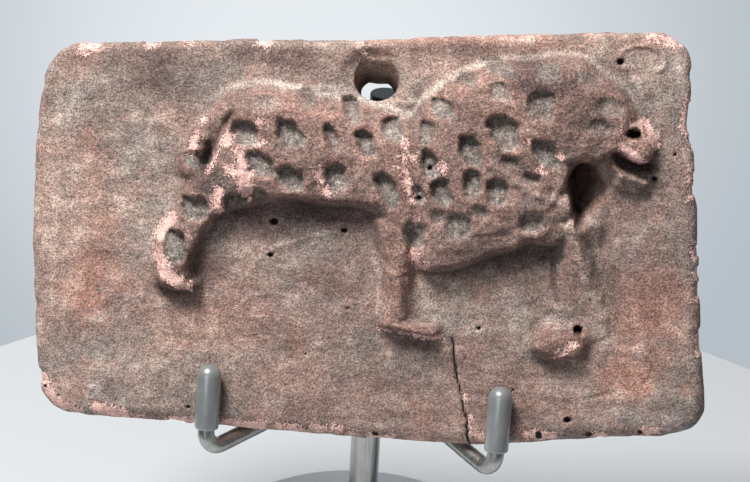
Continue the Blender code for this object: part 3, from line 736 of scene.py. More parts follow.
def build_slab():
    rounding = front_rounding(outline[:, 1])
    inner = outline - normals * rounding[:, None]
    face = filled_patch(inner, ACROSS_CELLS, UP_CELLS)
    across, up = face[..., 0], face[..., 1]
    height, _ = fine_relief(across, up)
    points = [place(across, up, height).reshape(-1, 3)]
    face_ids = np.arange(across.size).reshape(across.shape)
    faces = [quads(face_ids).reshape(-1, 4)]

    chipped = soft_step(-0.12, 0.3, chip_field(outline[:, 0], outline[:, 1]))
    walked = np.arange(len(outline)) * RING_STEP
    profile = [("front", angle) for angle in FRONT_ANGLES] + [("side", 0.5)]
    profile += [("back", angle) for angle in BACK_ANGLES]
    last = ring_of(face_ids)
    base = ground(inner[:, 0], inner[:, 1])
    count = across.size
    for step, (part, amount) in enumerate(profile):
        inset, depth = ring_inset(part, amount, rounding)
        sink = chipped * 0.35 * (part == "front") + 0.15 * lumps(walked, depth * 1.6, 2.2, 101)
        spot = outline - normals * (inset + np.maximum(sink, -0.12))[:, None]
        fade = max(1.0 - 0.2 * (step + 1), 0.0)
        points.append(place(spot[:, 0], spot[:, 1], -depth + base * fade))
        ids = count + np.arange(len(outline))
        count += len(outline)
        faces.append(np.stack([last, ids, np.roll(ids, -1), np.roll(last, -1)], -1))
        last = ids

    back = back_field()
    points.append(back.reshape(-1, 3))
    back_ids = count + np.arange(back.size // 3).reshape(back.shape[:2])
    faces.append(quads(back_ids)[..., ::-1].reshape(-1, 4))
    rim = ring_of(back_ids)
    wide = []
    for index in range(len(rim)):
        first = index * COARSER
        fine = [last[(first + step) % len(last)] for step in range(COARSER + 1)]
        wide.append(fine[::-1] + [rim[index], rim[(index + 1) % len(rim)]])

    mesh = bpy.data.meshes.new("slab")
    flat = [list(map(int, face)) for face in np.concatenate(faces)]
    flat += [list(map(int, face)) for face in wide]
    mesh.from_pydata(np.concatenate(points).tolist(), [], flat)
    mesh.update()
    slab = bpy.data.objects.new("clay_slab", mesh)
    bpy.context.collection.objects.link(slab)
    return slab


def alone(thing):
    """Selects one object and nothing else."""
    bpy.ops.object.select_all(action="DESELECT")
    thing.select_set(True)
    bpy.context.view_layer.objects.active = thing


def fix_normals(thing):
    shape = bmesh.new()
    shape.from_mesh(thing.data)
    bmesh.ops.recalc_face_normals(shape, faces=shape.faces)
    shape.to_mesh(thing.data)
    shape.free()


slab = build_slab()
fix_normals(slab)
print("slab:", len(slab.data.vertices), "vertices,", len(slab.data.polygons), "faces")

# %% [markdown]
# ## The suspension hole
# A stick was pushed through the wet clay, downwards from the front, so the mouth is wide,
# the back end narrow and the wall lumpy. Above the mouth the clay tore off in a flat arch.
# A tapered, rippled rod is taken away from the slab with a Boolean modifier, because a
# height function can't hold a slanting hole, and the cut keeps crisp rims at both faces.

# %% Cut the hole
HOLE_ACROSS = -0.8
HOLE_FRONT_UP = 31.1
HOLE_FRONT_RADIUS = 4.35
HOLE_BACK_UP = 26.4
HOLE_BACK_RADIUS = 3.3
HOLE_FLARE = 0.4
HOLE_SWAY = 0.10
MOUTH_SWAY = 0.06
MOUTH_LIFT = 2.1
MOUTH_NARROWING = 0.10
ARCH_TOP = 0.84
HOLE_SIDES = 96
HOLE_RINGS = 30
print("the hole falls", round(HOLE_FRONT_UP - HOLE_BACK_UP, 1), "mm through the slab")


def hole_ring(height):
    """One ring round the rod that cuts the hole, at one height over the face."""
    fall = (HOLE_FRONT_UP - HOLE_BACK_UP) / THICKNESS
    taper = (HOLE_FRONT_RADIUS - HOLE_BACK_RADIUS) / THICKNESS
    angles = np.linspace(0.0, math.tau, HOLE_SIDES, endpoint=False)
    aside, aloft = np.cos(angles), np.sin(angles)
    level = np.full_like(angles, height)
    mouth = soft_step(-2.6, 0.2, height)
    ripple = 1.0 + HOLE_SWAY * lumps(3.0 * aside, 3.0 * aloft + 0.4 * level, 2.2, 131)
    ripple += MOUTH_SWAY * mouth * lumps(4.0 * aside + level, 4.0 * aloft, 0.9, 132)
    radius = HOLE_FRONT_RADIUS + taper * height + HOLE_FLARE * soft_step(-1.8, 0.6, height)
    arch = np.minimum(aloft, ARCH_TOP)
    narrow = 1.04 + MOUTH_NARROWING * mouth * np.minimum(arch, 0.0)
    lift = MOUTH_LIFT * mouth * np.maximum(arch, 0.0)
    across = HOLE_ACROSS + radius * ripple * aside * narrow
    up = HOLE_FRONT_UP + fall * height + radius * ripple * arch * 0.96 + lift
    return place(across, up, level)


def hole_rod():
    heights = np.linspace(5.0, -THICKNESS - 4.0, HOLE_RINGS)
    points = [hole_ring(height) for height in heights]
    ids = np.arange(HOLE_SIDES * HOLE_RINGS).reshape(HOLE_RINGS, HOLE_SIDES)
    faces = []
    for ring, following in zip(ids, ids[1:]):
        for step in range(HOLE_SIDES):
            after = (step + 1) % HOLE_SIDES
            corners = (ring[step], ring[after], following[after], following[step])
            faces.append([int(corner) for corner in corners])
    faces += [[int(v) for v in ids[0][::-1]], [int(v) for v in ids[-1]]]
    mesh = bpy.data.meshes.new("hole_rod")
    mesh.from_pydata(np.concatenate(points).tolist(), [], faces)
    rod = bpy.data.objects.new("hole_rod", mesh)
    bpy.context.collection.objects.link(rod)
    fix_normals(rod)
    return rod


rod = hole_rod()
alone(slab)
cut = slab.modifiers.new("hole", "BOOLEAN")
cut.operation = "DIFFERENCE"
cut.solver = "MANIFOLD"
cut.object = rod
bpy.ops.object.modifier_apply(modifier=cut.name)
bpy.data.objects.remove(rod, do_unlink=True)
bpy.ops.object.shade_smooth()
print("slab with its hole:", len(slab.data.vertices), "vertices")

# %% [markdown]
# ## Zones of soot, painted shadow, red clay, ash and dust
# The kiln left the slab red in some places, grey in others and sooty beneath the animal,
# and dust lies in corners. The dark zones under the belly and beside the legs add painted
# shadow to that soot. The zones are soft ovals, listed in a table for each kind. Painting
# vertices with a brush gives the same, but a table can be moved with the relief and comes
# out the same each time.

# %% Zones of colour
# Each zone: across, up, half width, half height and strength.
# Zones under the belly, by the hind leg and right of the front leg are painted shadow; the others are
# soot.
SOOT_AND_SHADE_ZONES = (
    (44.9, 5.0, 1.8, 5.0, 0.7), (47.8, -3.0, 2.0, 6.0, 0.5), (19.0, 0.0, 9.0, 4.0, 0.8),
    (30.0, 34.2, 8.0, 4.0, 1.0), (33.4, -1.6, 1.8, 2.0, 0.9), (16.0, 24.0, 7.0, 6.0, 0.45),
    (37.5, -17.6, 6.0, 4.0, 0.7), (16.0, 37.6, 12.0, 2.0, 0.5), (-34.6, 12.4, 2.6, 2.4, 1.0),
    (21.0, 14.0, 8.0, 6.0, 0.4), (-9.0, -8.0, 15.0, 9.0, 0.5),
    (-25.5, 6.0, 7.0, 4.0, 1.0), (-11.0, 5.4, 13.0, 3.0, 0.8), (-33.6, 14.0, 4.0, 5.0, 0.9),
    (48.5, 16.4, 4.0, 2.6, 0.3), (20.0, 2.0, 9.0, 4.0, 0.6), (0.0, -34.0, 40.0, 4.0, 0.35),
    (35.2, -5.0, 1.0, 6.0, 0.4), (-38.0, -12.6, 4.0, 2.0, 0.9), (10.0, -20.6, 8.0, 2.0, 0.7),
    (-42.0, 29.0, 12.0, 7.0, 0.7), (-33.5, 9.0, 7.0, 7.0, 0.9), (-16.0, 2.0, 20.0, 5.5, 0.9),
    (25.0, -2.0, 14.0, 5.0, 0.9), (53.0, 18.0, 7.0, 6.0, 0.6), (38.0, 27.0, 12.0, 9.0, 0.5),
    (-34.0, -8.0, 6.0, 8.0, 0.7), (-14.0, -12.0, 20.0, 9.0, 0.35), (12.0, -27.0, 26.0, 9.0, 0.4),
    (30.0, -8.0, 9.0, 9.0, 0.5), (47.0, 0.0, 8.0, 12.0, 0.4), (-12.0, 12.0, 14.0, 7.0, 0.35),
    (13.0, 12.0, 10.0, 9.0, 0.4), (-22.0, 34.0, 16.0, 3.5, 0.6), (58.0, 2.0, 9.0, 20.0, 0.5),
    (10.0, -24.0, 36.0, 12.0, 0.45), (-20.0, -37.0, 40.0, 3.0, 0.45), (30.0, -34.0, 30.0, 5.0, 0.4),
)
WARM_ZONES = (
    (-54.0, -12.0, 9.0, 14.0, 0.8), (-55.0, 12.0, 7.0, 12.0, 0.5), (26.0, 28.0, 14.0, 8.0, 0.6),
    (55.0, -12.0, 9.0, 16.0, 0.8), (52.0, -24.0, 6.0, 6.0, 1.0), (52.0, 35.0, 5.0, 4.0, 0.4),
    (6.0, -8.0, 4.0, 9.0, 0.8), (-10.0, 24.0, 9.0, 4.0, 0.6), (20.0, 40.0, 30.0, 3.0, 0.6),
    (-20.0, -32.0, 34.0, 5.0, 0.35), (38.0, -17.0, 6.0, 4.0, 0.7), (6.0, 14.0, 3.0, 11.0, 0.6),
    (-30.0, -20.0, 14.0, 8.0, 0.4), (-58.0, 31.0, 6.0, 5.0, 0.6),
)
GREY_ZONES = (
    (48.8, 15.6, 5.0, 3.0, 1.0), (-30.0, 8.0, 6.0, 6.0, 0.6), (44.0, -4.0, 5.0, 10.0, 0.4),
    (13.0, -13.0, 5.0, 3.0, 0.5),
)
PALE_ZONES = (
    (30.2, -13.0, 3.0, 5.0, 1.0), (11.6, -12.0, 3.0, 4.0, 1.0), (48.6, 15.4, 4.4, 2.2, 1.0),
    (53.0, 37.0, 7.0, 4.0, 1.0), (38.2, 7.2, 1.6, 4.0, 1.0), (41.2, 0.0, 1.6, 4.0, 1.0),
    (43.0, -5.0, 1.9, 5.0, 1.0), (46.4, -12.4, 3.0, 5.0, 0.9),
    (9.0, -10.0, 3.0, 3.4, 0.8), (14.0, -14.6, 3.0, 2.0, 0.7), (48.6, 15.8, 4.0, 1.0, 0.6),
    (-60.0, 0.0, 5.0, 24.0, 0.7), (-44.0, 2.0, 8.0, 16.0, 0.5), (-6.0, -4.0, 14.0, 5.0, 0.4),
    (16.0, -14.0, 7.0, 6.0, 0.5), (44.0, 0.0, 4.0, 9.0, 0.6), (-2.0, 36.0, 14.0, 3.0, 0.3),
    (-44.0, -28.0, 18.0, 7.0, 0.4), (34.0, 38.6, 16.0, 2.0, 0.5), (48.0, -28.0, 14.0, 6.0, 0.3),
)


def zone_mask(across, up, zones):
    total = np.zeros_like(across)
    drift = rough(across, up, 9.0, 141)
    for centre_across, centre_up, wide, tall, strength in zones:
        sway = drift * min(3.0, 0.4 * wide, 0.4 * tall)
        aside, aloft = (across - centre_across + sway) / wide, (up - centre_up + sway) / tall
        total = np.maximum(total, strength * np.exp(-(aside**2 + aloft**2)))
    return total


print(len(SOOT_AND_SHADE_ZONES), "dark,", len(WARM_ZONES), "warm,", len(GREY_ZONES), "grey,",
      len(PALE_ZONES), "pale zones")

# %% [markdown]
# ## Where each finish goes
# The material needs to know where the chips, spots, pores, corners and rims are. These
# masks are worked out once more at the finished vertices and kept as colour attributes,
# four to each. The shader adds its own fine noise to them, so their edges stay crisp.

# %% Masks of form
BOWL_REACH = 1.2
BOWL_DEPTH = 0.6
HOLE_SLOPE = 0.45
# Each step: how far above a point the animal is looked for, and how dark the painted shadow is.
UNDER_STEPS = ((0.7, 1.0), (1.4, 0.9), (2.2, 0.65), (3.2, 0.35))


def bowl_mask(across, up, level):
    """How hollow the face is round a point, from -1 on a bulge to 1 in a corner."""
    around = []
    for angle in np.linspace(0.0, math.tau, 8, endpoint=False):
        aside, aloft = BOWL_REACH * math.cos(angle), BOWL_REACH * math.sin(angle)
        around.append(fine_relief(across + aside, up + aloft)[0])
    return np.clip((np.mean(around, axis=0) - level) / BOWL_DEPTH, -1.0, 1.0)


def dust_and_light_mask(across, up, body):
    """Slopes that look up along the animal's back: dust, with painted light from above."""
    slope = animal(across, up + 0.5) - animal(across, up - 0.5)
    mask = soft_step(-0.06, -0.5, slope) * soft_step(1.1, 0.4, body)
    return mask * soft_step(-4.0, 4.0, up) * soft_step(-30.0, -22.0, across)


def under_shadow_mask(across, up, body):
    """The slab's ground close under the animal: painted shadow with some soot, except under the
    mouth.
    """
    mask = np.zeros_like(body)
    for drop, share in UNDER_STEPS:
        mask = np.maximum(mask, share * soft_step(0.8, 3.0, animal(across, up + drop)))
    mask *= soft_step(1.6, 0.4, body)
    return mask * soft_step(2.0, 6.0, np.hypot(across - 44.0, up - 16.0))


def hole_mask(across, up, height):
    """The hole's wall, darker further in."""
    middle = HOLE_FRONT_UP + HOLE_SLOPE * np.minimum(height, 0.0)
    inside = soft_step(4.9, 4.1, np.hypot(across - HOLE_ACROSS, up - middle))
    # Painted shade on the hole's wall, darker further in.
    return inside * 0.7 * soft_step(-2.6, -8.0, height)


def store(thing, name, channels):
    """Keeps four masks as one colour attribute."""
    layer = thing.data.attributes.new(name, "FLOAT_COLOR", "POINT")
    values = np.stack(channels, axis=1).astype(np.float32).ravel()
    layer.data.foreach_set("color", values)


print("width over which the face is compared:", 2 * BOWL_REACH)

# %% [markdown]
# ## Storing the masks
# Every vertex is turned back into its place on the face, across, up and height, and gets
# all its masks there. Painting them by hand would be lost with each new mesh. Three colour
# attributes of four numbers each hold them.

# %% Masks as attributes
vertices = np.empty(len(slab.data.vertices) * 3)
slab.data.vertices.foreach_get("co", vertices)
across, up, height = unplace(vertices.reshape(-1, 3))
level, masks = fine_relief(across, up)
body = animal(across, up)
in_hole = hole_mask(across, up, height)
front = np.maximum(soft_step(-4.6, -2.6, height), np.abs(height - level) < 0.3)
face_only = front * (1.0 - in_hole)
bowl = bowl_mask(across, up, level)
# Sides of the animal that face down, away from the light above, get painted shade.
steep = animal(across, up + 1.0) - animal(across, up - 1.0)
lower_side = soft_step(0.35, 1.9, steep) * masks["body"]
# Painted shade: the darkness of the hollows and the painted shadow under the animal, with some soot.
soot_and_shade = np.maximum(masks["hollow"], 0.55 * under_shadow_mask(across, up, body))
ashen = zone_mask(across, up, GREY_ZONES)
store(slab, "marks", [
    0.5 + np.clip(masks["chip"], -2.0, 2.0) * 0.25 * front - 0.5 * (1.0 - front),
    masks["spot"] * face_only,
    np.maximum(masks["pore"], masks["crack"]) * face_only,
    masks["spot_shaded_top"] * face_only,
])
store(slab, "form", [
    np.clip(np.maximum(bowl, lower_side), 0.0, 1.0) * face_only,
    np.clip(-bowl, 0.0, 1.0) * face_only,
    np.maximum(soot_and_shade * face_only, in_hole),
    dust_and_light_mask(across, up, body) * face_only,
])
store(slab, "zones", [
    zone_mask(across, up, SOOT_AND_SHADE_ZONES) * front,
    zone_mask(across, up, WARM_ZONES) - ashen,
    np.maximum(zone_mask(across, up, PALE_ZONES), 0.9 * masks["ridge"]) * front,
    masks["body"] * face_only * (1.0 - ashen),
])
print("vertices with masks:", len(across))

# %% [markdown]
# ## A small kit for shaders
# Materials are built from the same few nodes again and again, so short helpers add a node
# and wire it. They return sockets, which reads like arithmetic further down.

# %% Shader helpers


class Paint:
    """Adds nodes to one material and returns their sockets."""

    def __init__(self, name):
        self.material = bpy.data.materials.new(name)
        self.material.use_nodes = True
        self.tree = self.material.node_tree
        self.shader = self.tree.nodes["Principled BSDF"]
        self.coords = self.tree.nodes.new("ShaderNodeTexCoord").outputs["Object"]

    def wire(self, value, socket):
        if isinstance(value, bpy.types.NodeSocket):
            self.tree.links.new(value, socket)
        else:
            socket.default_value = value

    def noise(self, size, detail=2.0, roughness=0.5, stretch=None):
        """Noise with features about size metres wide, from 0 to 1."""
        node = self.tree.nodes.new("ShaderNodeTexNoise")
        node.inputs["Scale"].default_value = 1.0 / size
        node.inputs["Detail"].default_value = detail
        node.inputs["Roughness"].default_value = roughness
        coords = self.coords
        if stretch:
            mapping = self.tree.nodes.new("ShaderNodeMapping")
            mapping.inputs["Scale"].default_value = stretch
            self.wire(coords, mapping.inputs["Vector"])
            coords = mapping.outputs["Vector"]
        self.wire(coords, node.inputs["Vector"])
        return node.outputs["Fac"]

    def level(self):
        """Height above the table, in metres."""
        node = self.tree.nodes.new("ShaderNodeSeparateXYZ")
        self.wire(self.coords, node.inputs[0])
        return node.outputs["Z"]

    def math(self, kind, first, second=0.0, clamp=False):
        node = self.tree.nodes.new("ShaderNodeMath")
        node.operation = kind
        node.use_clamp = clamp
        self.wire(first, node.inputs[0])
        self.wire(second, node.inputs[1])
        return node.outputs[0]

    def span(self, value, low, high, out_low=0.0, out_high=1.0):
        """value from low..high turned into out_low..out_high, smoothly and clamped."""
        node = self.tree.nodes.new("ShaderNodeMapRange")
        node.interpolation_type = "SMOOTHSTEP"
        self.wire(value, node.inputs["Value"])
        ends = {"From Min": low, "From Max": high, "To Min": out_low, "To Max": out_high}
        for name, number in ends.items():
            node.inputs[name].default_value = number
        return node.outputs["Result"]

    def mix(self, share, first, second, kind="MIX"):
        node = self.tree.nodes.new("ShaderNodeMix")
        node.data_type = "RGBA"
        node.blend_type = kind
        self.wire(share, node.inputs["Factor"])
        self.wire(first, node.inputs[6])
        self.wire(second, node.inputs[7])
        return node.outputs[2]

    def masks(self, name):
        """Four mask sockets of a colour attribute."""
        node = self.tree.nodes.new("ShaderNodeAttribute")
        node.attribute_name = name
        split = self.tree.nodes.new("ShaderNodeSeparateColor")
        self.wire(node.outputs["Color"], split.inputs["Color"])
        return (*split.outputs, node.outputs["Alpha"])

    def bump(self, height, distance, strength=1.0, under=None):
        node = self.tree.nodes.new("ShaderNodeBump")
        node.inputs["Strength"].default_value = strength
        node.inputs["Distance"].default_value = distance
        self.wire(height, node.inputs["Height"])
        if under is not None:
            self.wire(under, node.inputs["Normal"])
        return node.outputs["Normal"]


def seen(red, green, blue):
    """A colour picked on screen, as the linear colour that nodes expect."""
    linear = []
    for value in (red, green, blue):
        share = value / 255.0
        linear.append(share / 12.92 if share <= 0.04045 else ((share + 0.055) / 1.055) ** 2.4)
    return (*linear, 1.0)


# %% [markdown]
# ## Fired clay
# The real surface is a dull red-brown body under a sandy grey crust, flecked like coarse
# paper at half a millimetre, darker where soot or manganese settled and pale where dust
# lies in corners. Hollows, corners and the ground under the animal get painted shade.
# Fresh chips are pale pink. Layering masks over a few noises gives all of it without a
# picture, and one set of noises is shared by all the layers.

# %% Colours and noises of the clay
CLAY = seen(180, 150, 138)
CLAY_GREY = seen(144, 131, 124)
CLAY_WARM = seen(176, 126, 110)
CLAY_ASH = seen(124, 118, 118)
CLAY_BODY = seen(146, 115, 106)
CLAY_DARK = seen(90, 75, 73)
DUST = seen(210, 198, 186)
SPOT_FLOOR = seen(146, 145, 138)
# Painted shade for the upper walls of the spots.
SPOT_TOP_SHADE = seen(104, 99, 90)
SPECK = seen(214, 198, 182)
FRESH = seen(250, 206, 196)
DEEP_SHADE = seen(26, 17, 15)


def clay_noises(paint):
    """From broad clouds down to single grains, each named for what it stands for."""
    return {
        "broad": paint.noise(0.018, 4.0, 0.6),
        "middle": paint.noise(0.0042, 4.0, 0.65),
        "blush": paint.noise(0.0072, 5.0, 0.68),
        "ash": paint.noise(0.0058, 5.0, 0.72, (0.7, 1.0, 1.0)),
        "streaks": paint.noise(0.0024, 3.0, 0.6, (0.3, 1.0, 1.0)),
        "grit": paint.noise(0.0011, 3.0, 0.65),
        "skin": paint.noise(0.00095, 3.0, 0.7),
        "dots": paint.noise(0.00046, 0.5, 0.5),
        "fleck": paint.noise(0.00034, 2.0, 0.7),
        "grain": paint.noise(0.00019, 1.0, 0.6),
    }


print("dark and pale clay, linear:", np.round(CLAY_DARK, 3), np.round(DUST, 3))

# %% [markdown]
# ## Body and crust
# First the broad colours: sandy clay that drifts to grey, red where it was fired hotter,
# ash where it was smoked, browner on the animal, then dust, and soot with painted shadow,
# on top. Each layer is mixed over the last one by a zone, a noise or both.

# %% Body and crust


def crust(paint, noise, zones):
    dark, warm, pale, on_body = zones
    broad, middle = noise["broad"], noise["middle"]
    colour = paint.mix(paint.span(broad, 0.36, 0.64), CLAY, CLAY_GREY)
    reddened = paint.math("MULTIPLY", paint.span(warm, 0.08, 0.9), 0.75)
    colour = paint.mix(reddened, colour, CLAY_WARM)
    colour = paint.mix(paint.span(noise["blush"], 0.52, 0.68, 0.0, 0.45), colour, CLAY_WARM)
    colour = paint.mix(paint.span(noise["ash"], 0.53, 0.67, 0.0, 0.5), colour, CLAY_ASH)
    colour = paint.mix(paint.span(warm, -0.9, -0.1, 0.7, 0.0), colour, CLAY_ASH)
    flesh = paint.math("MULTIPLY", on_body, paint.span(middle, 0.36, 0.6, 0.35, 0.9))
    colour = paint.mix(flesh, colour, CLAY_BODY)
    dusty = paint.span(middle, 0.5, 0.7, -0.1, 0.35)
    crusted = paint.math("ADD", paint.math("MULTIPLY", pale, 0.7), dusty)
    colour = paint.mix(paint.math("MULTIPLY", crusted, 0.62, True), colour, DUST)
    # Soot and painted shadow, from the soot-and-shade zones.
    soot_and_shade = paint.math("ADD", dark, paint.span(broad, 0.34, 0.66, 0.16, -0.16))
    return paint.mix(paint.span(soot_and_shade, 0.0, 1.0, 0.0, 0.95), colour, CLAY_DARK)


# %% [markdown]
# ## What settled, what wore off, and painted light and shade
# The floors of the spots kept a grey-green film and their tops get painted shade, dust and
# painted light lie along the animal's back, corners and downward-facing sides get painted
# shade with some dirt, and bulges are rubbed back to the red body.

# %% Film, dust, painted light and shade, dirt and wear


def settled_with_light_and_shade(paint, colour, noise, marks, form):
    _, spot, _, spot_shaded_top = marks
    corner, worn, _, upper_side = form
    film = paint.math("MULTIPLY", spot, paint.span(noise["skin"], 0.36, 0.62, 0.35, 0.85))
    colour = paint.mix(film, colour, SPOT_FLOOR)
    # Painted shade on the upper walls of the spots.
    colour = paint.mix(paint.math("MULTIPLY", spot_shaded_top, 0.3), colour, SPOT_TOP_SHADE)
    # Dust with painted light on slopes that face up.
    colour = paint.mix(paint.math("MULTIPLY", upper_side, 0.35), colour, DUST)
    # Painted shade, with some dirt, in corners and on sides that face down.
    shaded_corner = paint.math("MULTIPLY", corner, paint.math("SUBTRACT", 1.0, upper_side))
    colour = paint.mix(paint.math("MULTIPLY", shaded_corner, 0.5), colour, CLAY_DARK)
    return paint.mix(paint.math("MULTIPLY", worn, 0.22), colour, CLAY_WARM)


# %% [markdown]
# ## Grain
# Sand in the clay makes it lighter and darker from grain to grain. The colour so far is
# multiplied by flecks, patches and streaks, more coarsely on the animal, and a few pale
# specks of sand are laid over it.

# %% Grain of the clay


def grained(paint, colour, noise, on_body):
    flecks = paint.span(noise["fleck"], 0.34, 0.66, 0.50, 1.42)
    flecks = paint.math("MULTIPLY", flecks, paint.span(noise["grit"], 0.3, 0.7, 0.82, 1.16))
    patches = paint.span(noise["middle"], 0.30, 0.70, 0.80, 1.14)
    streaks = paint.span(noise["streaks"], 0.3, 0.7, 0.84, 1.14)
    shade = paint.math("MULTIPLY", flecks, paint.math("MULTIPLY", patches, streaks))
    colour = paint.mix(1.0, colour, shade, "MULTIPLY")
    mottled = paint.span(noise["skin"], 0.34, 0.66, 0.68, 1.26)
    mottled = paint.mix(1.0, colour, mottled, "MULTIPLY")
    colour = paint.mix(paint.math("MULTIPLY", on_body, 0.8), colour, mottled)
    return paint.mix(paint.span(noise["dots"], 0.68, 0.76, 0.0, 0.28), colour, SPECK)


# %% [markdown]
# ## Chips, pores and deep places
# Light hardly reaches into the hole, the pocket, the pores, the cracks and the grooves,
# so painted shade turns them nearly black, and painted shadow darkens the ground under
# the animal.
# A chip starts where its field passes one half, and flecks added to the field before the
# cut give it a crumbled rim instead of a drawn one.

# %% Damage and painted shade


def damage_and_shade(paint, colour, noise, marks, hollow):
    chip, _, pore, _ = marks
    colour = paint.mix(paint.math("MULTIPLY", hollow, 0.96), colour, DEEP_SHADE)
    ragged = paint.math("ADD", chip, paint.span(noise["fleck"], 0.3, 0.7, -0.15, 0.15))
    pink = paint.mix(paint.span(noise["grain"], 0.35, 0.75, 0.0, 0.4), FRESH, CLAY_WARM)
    pink = paint.mix(paint.span(noise["grit"], 0.50, 0.66, 0.0, 0.55), pink, CLAY_BODY)
    crumbs = paint.span(noise["fleck"], 0.36, 0.64, 0.72, 1.12)
    pink = paint.mix(1.0, pink, crumbs, "MULTIPLY")
    colour = paint.mix(paint.span(ragged, 0.5, 0.52), colour, pink)
    return paint.mix(paint.span(pore, 0.25, 0.7), colour, DEEP_SHADE)


# %% [markdown]
# ## The finished clay
# The layers run in the order in which they came to the real piece. Roughness stays high,
# the deep places lose their last shine, and four bumps, from coarse to fine, give the
# matt, sandy skin.

# %% Clay material


def clay_material():
    paint = Paint("fired_clay")
    noise = clay_noises(paint)
    marks, form, zones = paint.masks("marks"), paint.masks("form"), paint.masks("zones")
    hollow, on_body = form[2], zones[3]
    colour = crust(paint, noise, zones)
    colour = settled_with_light_and_shade(paint, colour, noise, marks, form)
    colour = grained(paint, colour, noise, on_body)
    colour = damage_and_shade(paint, colour, noise, marks, hollow)
    paint.wire(colour, paint.shader.inputs["Base Color"])
    rough_or_less = paint.span(noise["fleck"], 0.3, 0.7, 0.95, 0.8)
    paint.wire(rough_or_less, paint.shader.inputs["Roughness"])
    paint.wire(paint.span(hollow, 0.2, 0.9, 0.3, 0.03), paint.shader.inputs["Specular IOR Level"])
    coarse = paint.bump(noise["middle"], 0.0012, 0.6)
    lumpy = paint.bump(paint.math("MULTIPLY", noise["skin"], on_body), 0.00045, 0.7, coarse)
    fine = paint.bump(noise["fleck"], 0.00022, 0.8, lumpy)
    paint.wire(paint.bump(noise["grain"], 0.00010, 0.7, fine), paint.shader.inputs["Normal"])
    return paint.material


clay = clay_material()
slab.data.materials.clear()
slab.data.materials.append(clay)
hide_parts("plaque")
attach(slab, "root")
print("clay nodes:", len(clay.node_tree.nodes))

# %% [markdown]
# ## Steel of the stand
# The post and the wires are drawn stainless rod, brushed along their length, and the foot
# is a turned disc with a satin grey finish. The post's top, which shows in the hole, gets
# painted shade, as it stands in the slab's shadow. Long thin noise along the rod makes the
# brush marks, and a fine bump breaks the reflections up the same way.

# %% Steel materials
# Where the post's top gets painted shade, in metres above the table.
SHADE_START = 0.1150
SHADE_FULL = 0.1170


def rod_material(name, stretch, finest, roughest):
    paint = Paint(name)
    strokes = paint.noise(0.0004, 3.0, 0.6, stretch)
    stains = paint.noise(0.006, 3.0, 0.5)
    tone = paint.mix(paint.span(strokes, 0.3, 0.7), seen(160, 160, 156), seen(190, 190, 187))
    tone = paint.mix(paint.span(stains, 0.45, 0.75, 0.0, 0.4), tone, seen(148, 147, 142))
    # Painted shade on the post's top, which stands in the slab's shadow.
    shaded_top = paint.span(paint.level(), SHADE_START, SHADE_FULL, 0.0, 0.9)
    tone = paint.mix(shaded_top, tone, seen(40, 42, 43))
    paint.wire(tone, paint.shader.inputs["Base Color"])
    paint.shader.inputs["Metallic"].default_value = 1.0
    paint.wire(paint.span(strokes, 0.2, 0.8, finest, roughest), paint.shader.inputs["Roughness"])
    paint.wire(paint.bump(strokes, 0.00004, 0.6), paint.shader.inputs["Normal"])
    return paint.material


def foot_material():
    paint = Paint("satin_foot")
    speckle = paint.noise(0.0005, 3.0, 0.7)
    clouds = paint.noise(0.02, 3.0, 0.5)
    tone = paint.mix(paint.span(clouds, 0.3, 0.7), seen(168, 170, 172), seen(180, 182, 184))
    tone = paint.mix(paint.span(speckle, 0.55, 0.75, 0.0, 0.3), tone, seen(146, 147, 148))
    paint.wire(tone, paint.shader.inputs["Base Color"])
    paint.shader.inputs["Metallic"].default_value = 0.55
    paint.wire(paint.span(speckle, 0.3, 0.7, 0.42, 0.58), paint.shader.inputs["Roughness"])
    paint.wire(paint.bump(speckle, 0.00005, 0.5), paint.shader.inputs["Normal"])
    return paint.material


rod_steel = rod_material("rod_steel", (1.0, 1.0, 0.03), 0.16, 0.30)
wire_steel = rod_material("wire_steel", (1.0, 0.6, 0.25), 0.30, 0.42)
satin = foot_material()


def finish_node(node, material):
    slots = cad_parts[node].data.materials
    for index in range(len(slots)):
        slots[index] = material


finish_node("post", rod_steel)
finish_node("foot", satin)

# %% [markdown]
# ## Where the arms run
# Each arm is one piece of wire: up through its sleeve as a prong, round a tight bend, and
# level to the post. Its place follows from the slab: the prong stands a sleeve's radius
# in front of the face, and the level run passes just under the slab's lowest edge.

# %% Places of the arms
WIRE_RADIUS = 1.65
BEND_RADIUS = 3.3
SLEEVE_RADIUS = 2.4
SLEEVE_LENGTH = 13.1
DOME = 2.3
PRONG_SHORT = 2.4
PRONG_LEFT = -30.3
PRONG_RIGHT = 26.8
BEAD = ((0.8, 1.04), (0.8, 1.13), (0.6, 1.20), (0.4, 1.19), (0.35, 1.07))
UPWARD = Vector((0.0, math.sin(LEAN), math.cos(LEAN)))


def slab_lowest():
    lows = []
    for angle in np.radians((0, 25, 48, 70, 90)):
        inset = FRONT_ROUNDING_BOTTOM * (1.0 - math.sin(angle))
        lows.append((inset, FRONT_ROUNDING_BOTTOM * (1.0 - math.cos(angle))))
        inset = BACK_INSET + BACK_ROUNDING * (1.0 - math.cos(angle))
        lows.append((inset, THICKNESS - BACK_ROUNDING * (1.0 - math.sin(angle))))
    return min(place(0.0, BOTTOM_EDGE + inset, -depth)[2] / MM for inset, depth in lows)


def prong_line(across):
    """A prong's foot on the arm's level, the way to the post, and the arm's inner end."""
    face = Vector(place(across - FACE_ACROSS, BOTTOM_EDGE, SLEEVE_RADIUS + GAP)) / MM
    level = min(slab_lowest(), face.z) - GAP - WIRE_RADIUS
    start = face + UPWARD * (level - face.z) / UPWARD.z
    inward = Vector((-start.x, -start.y, 0.0)).normalized()
    end = Vector((0.0, 0.0, level)) - inward * (POST_RADIUS + GAP)
    return start, inward, end


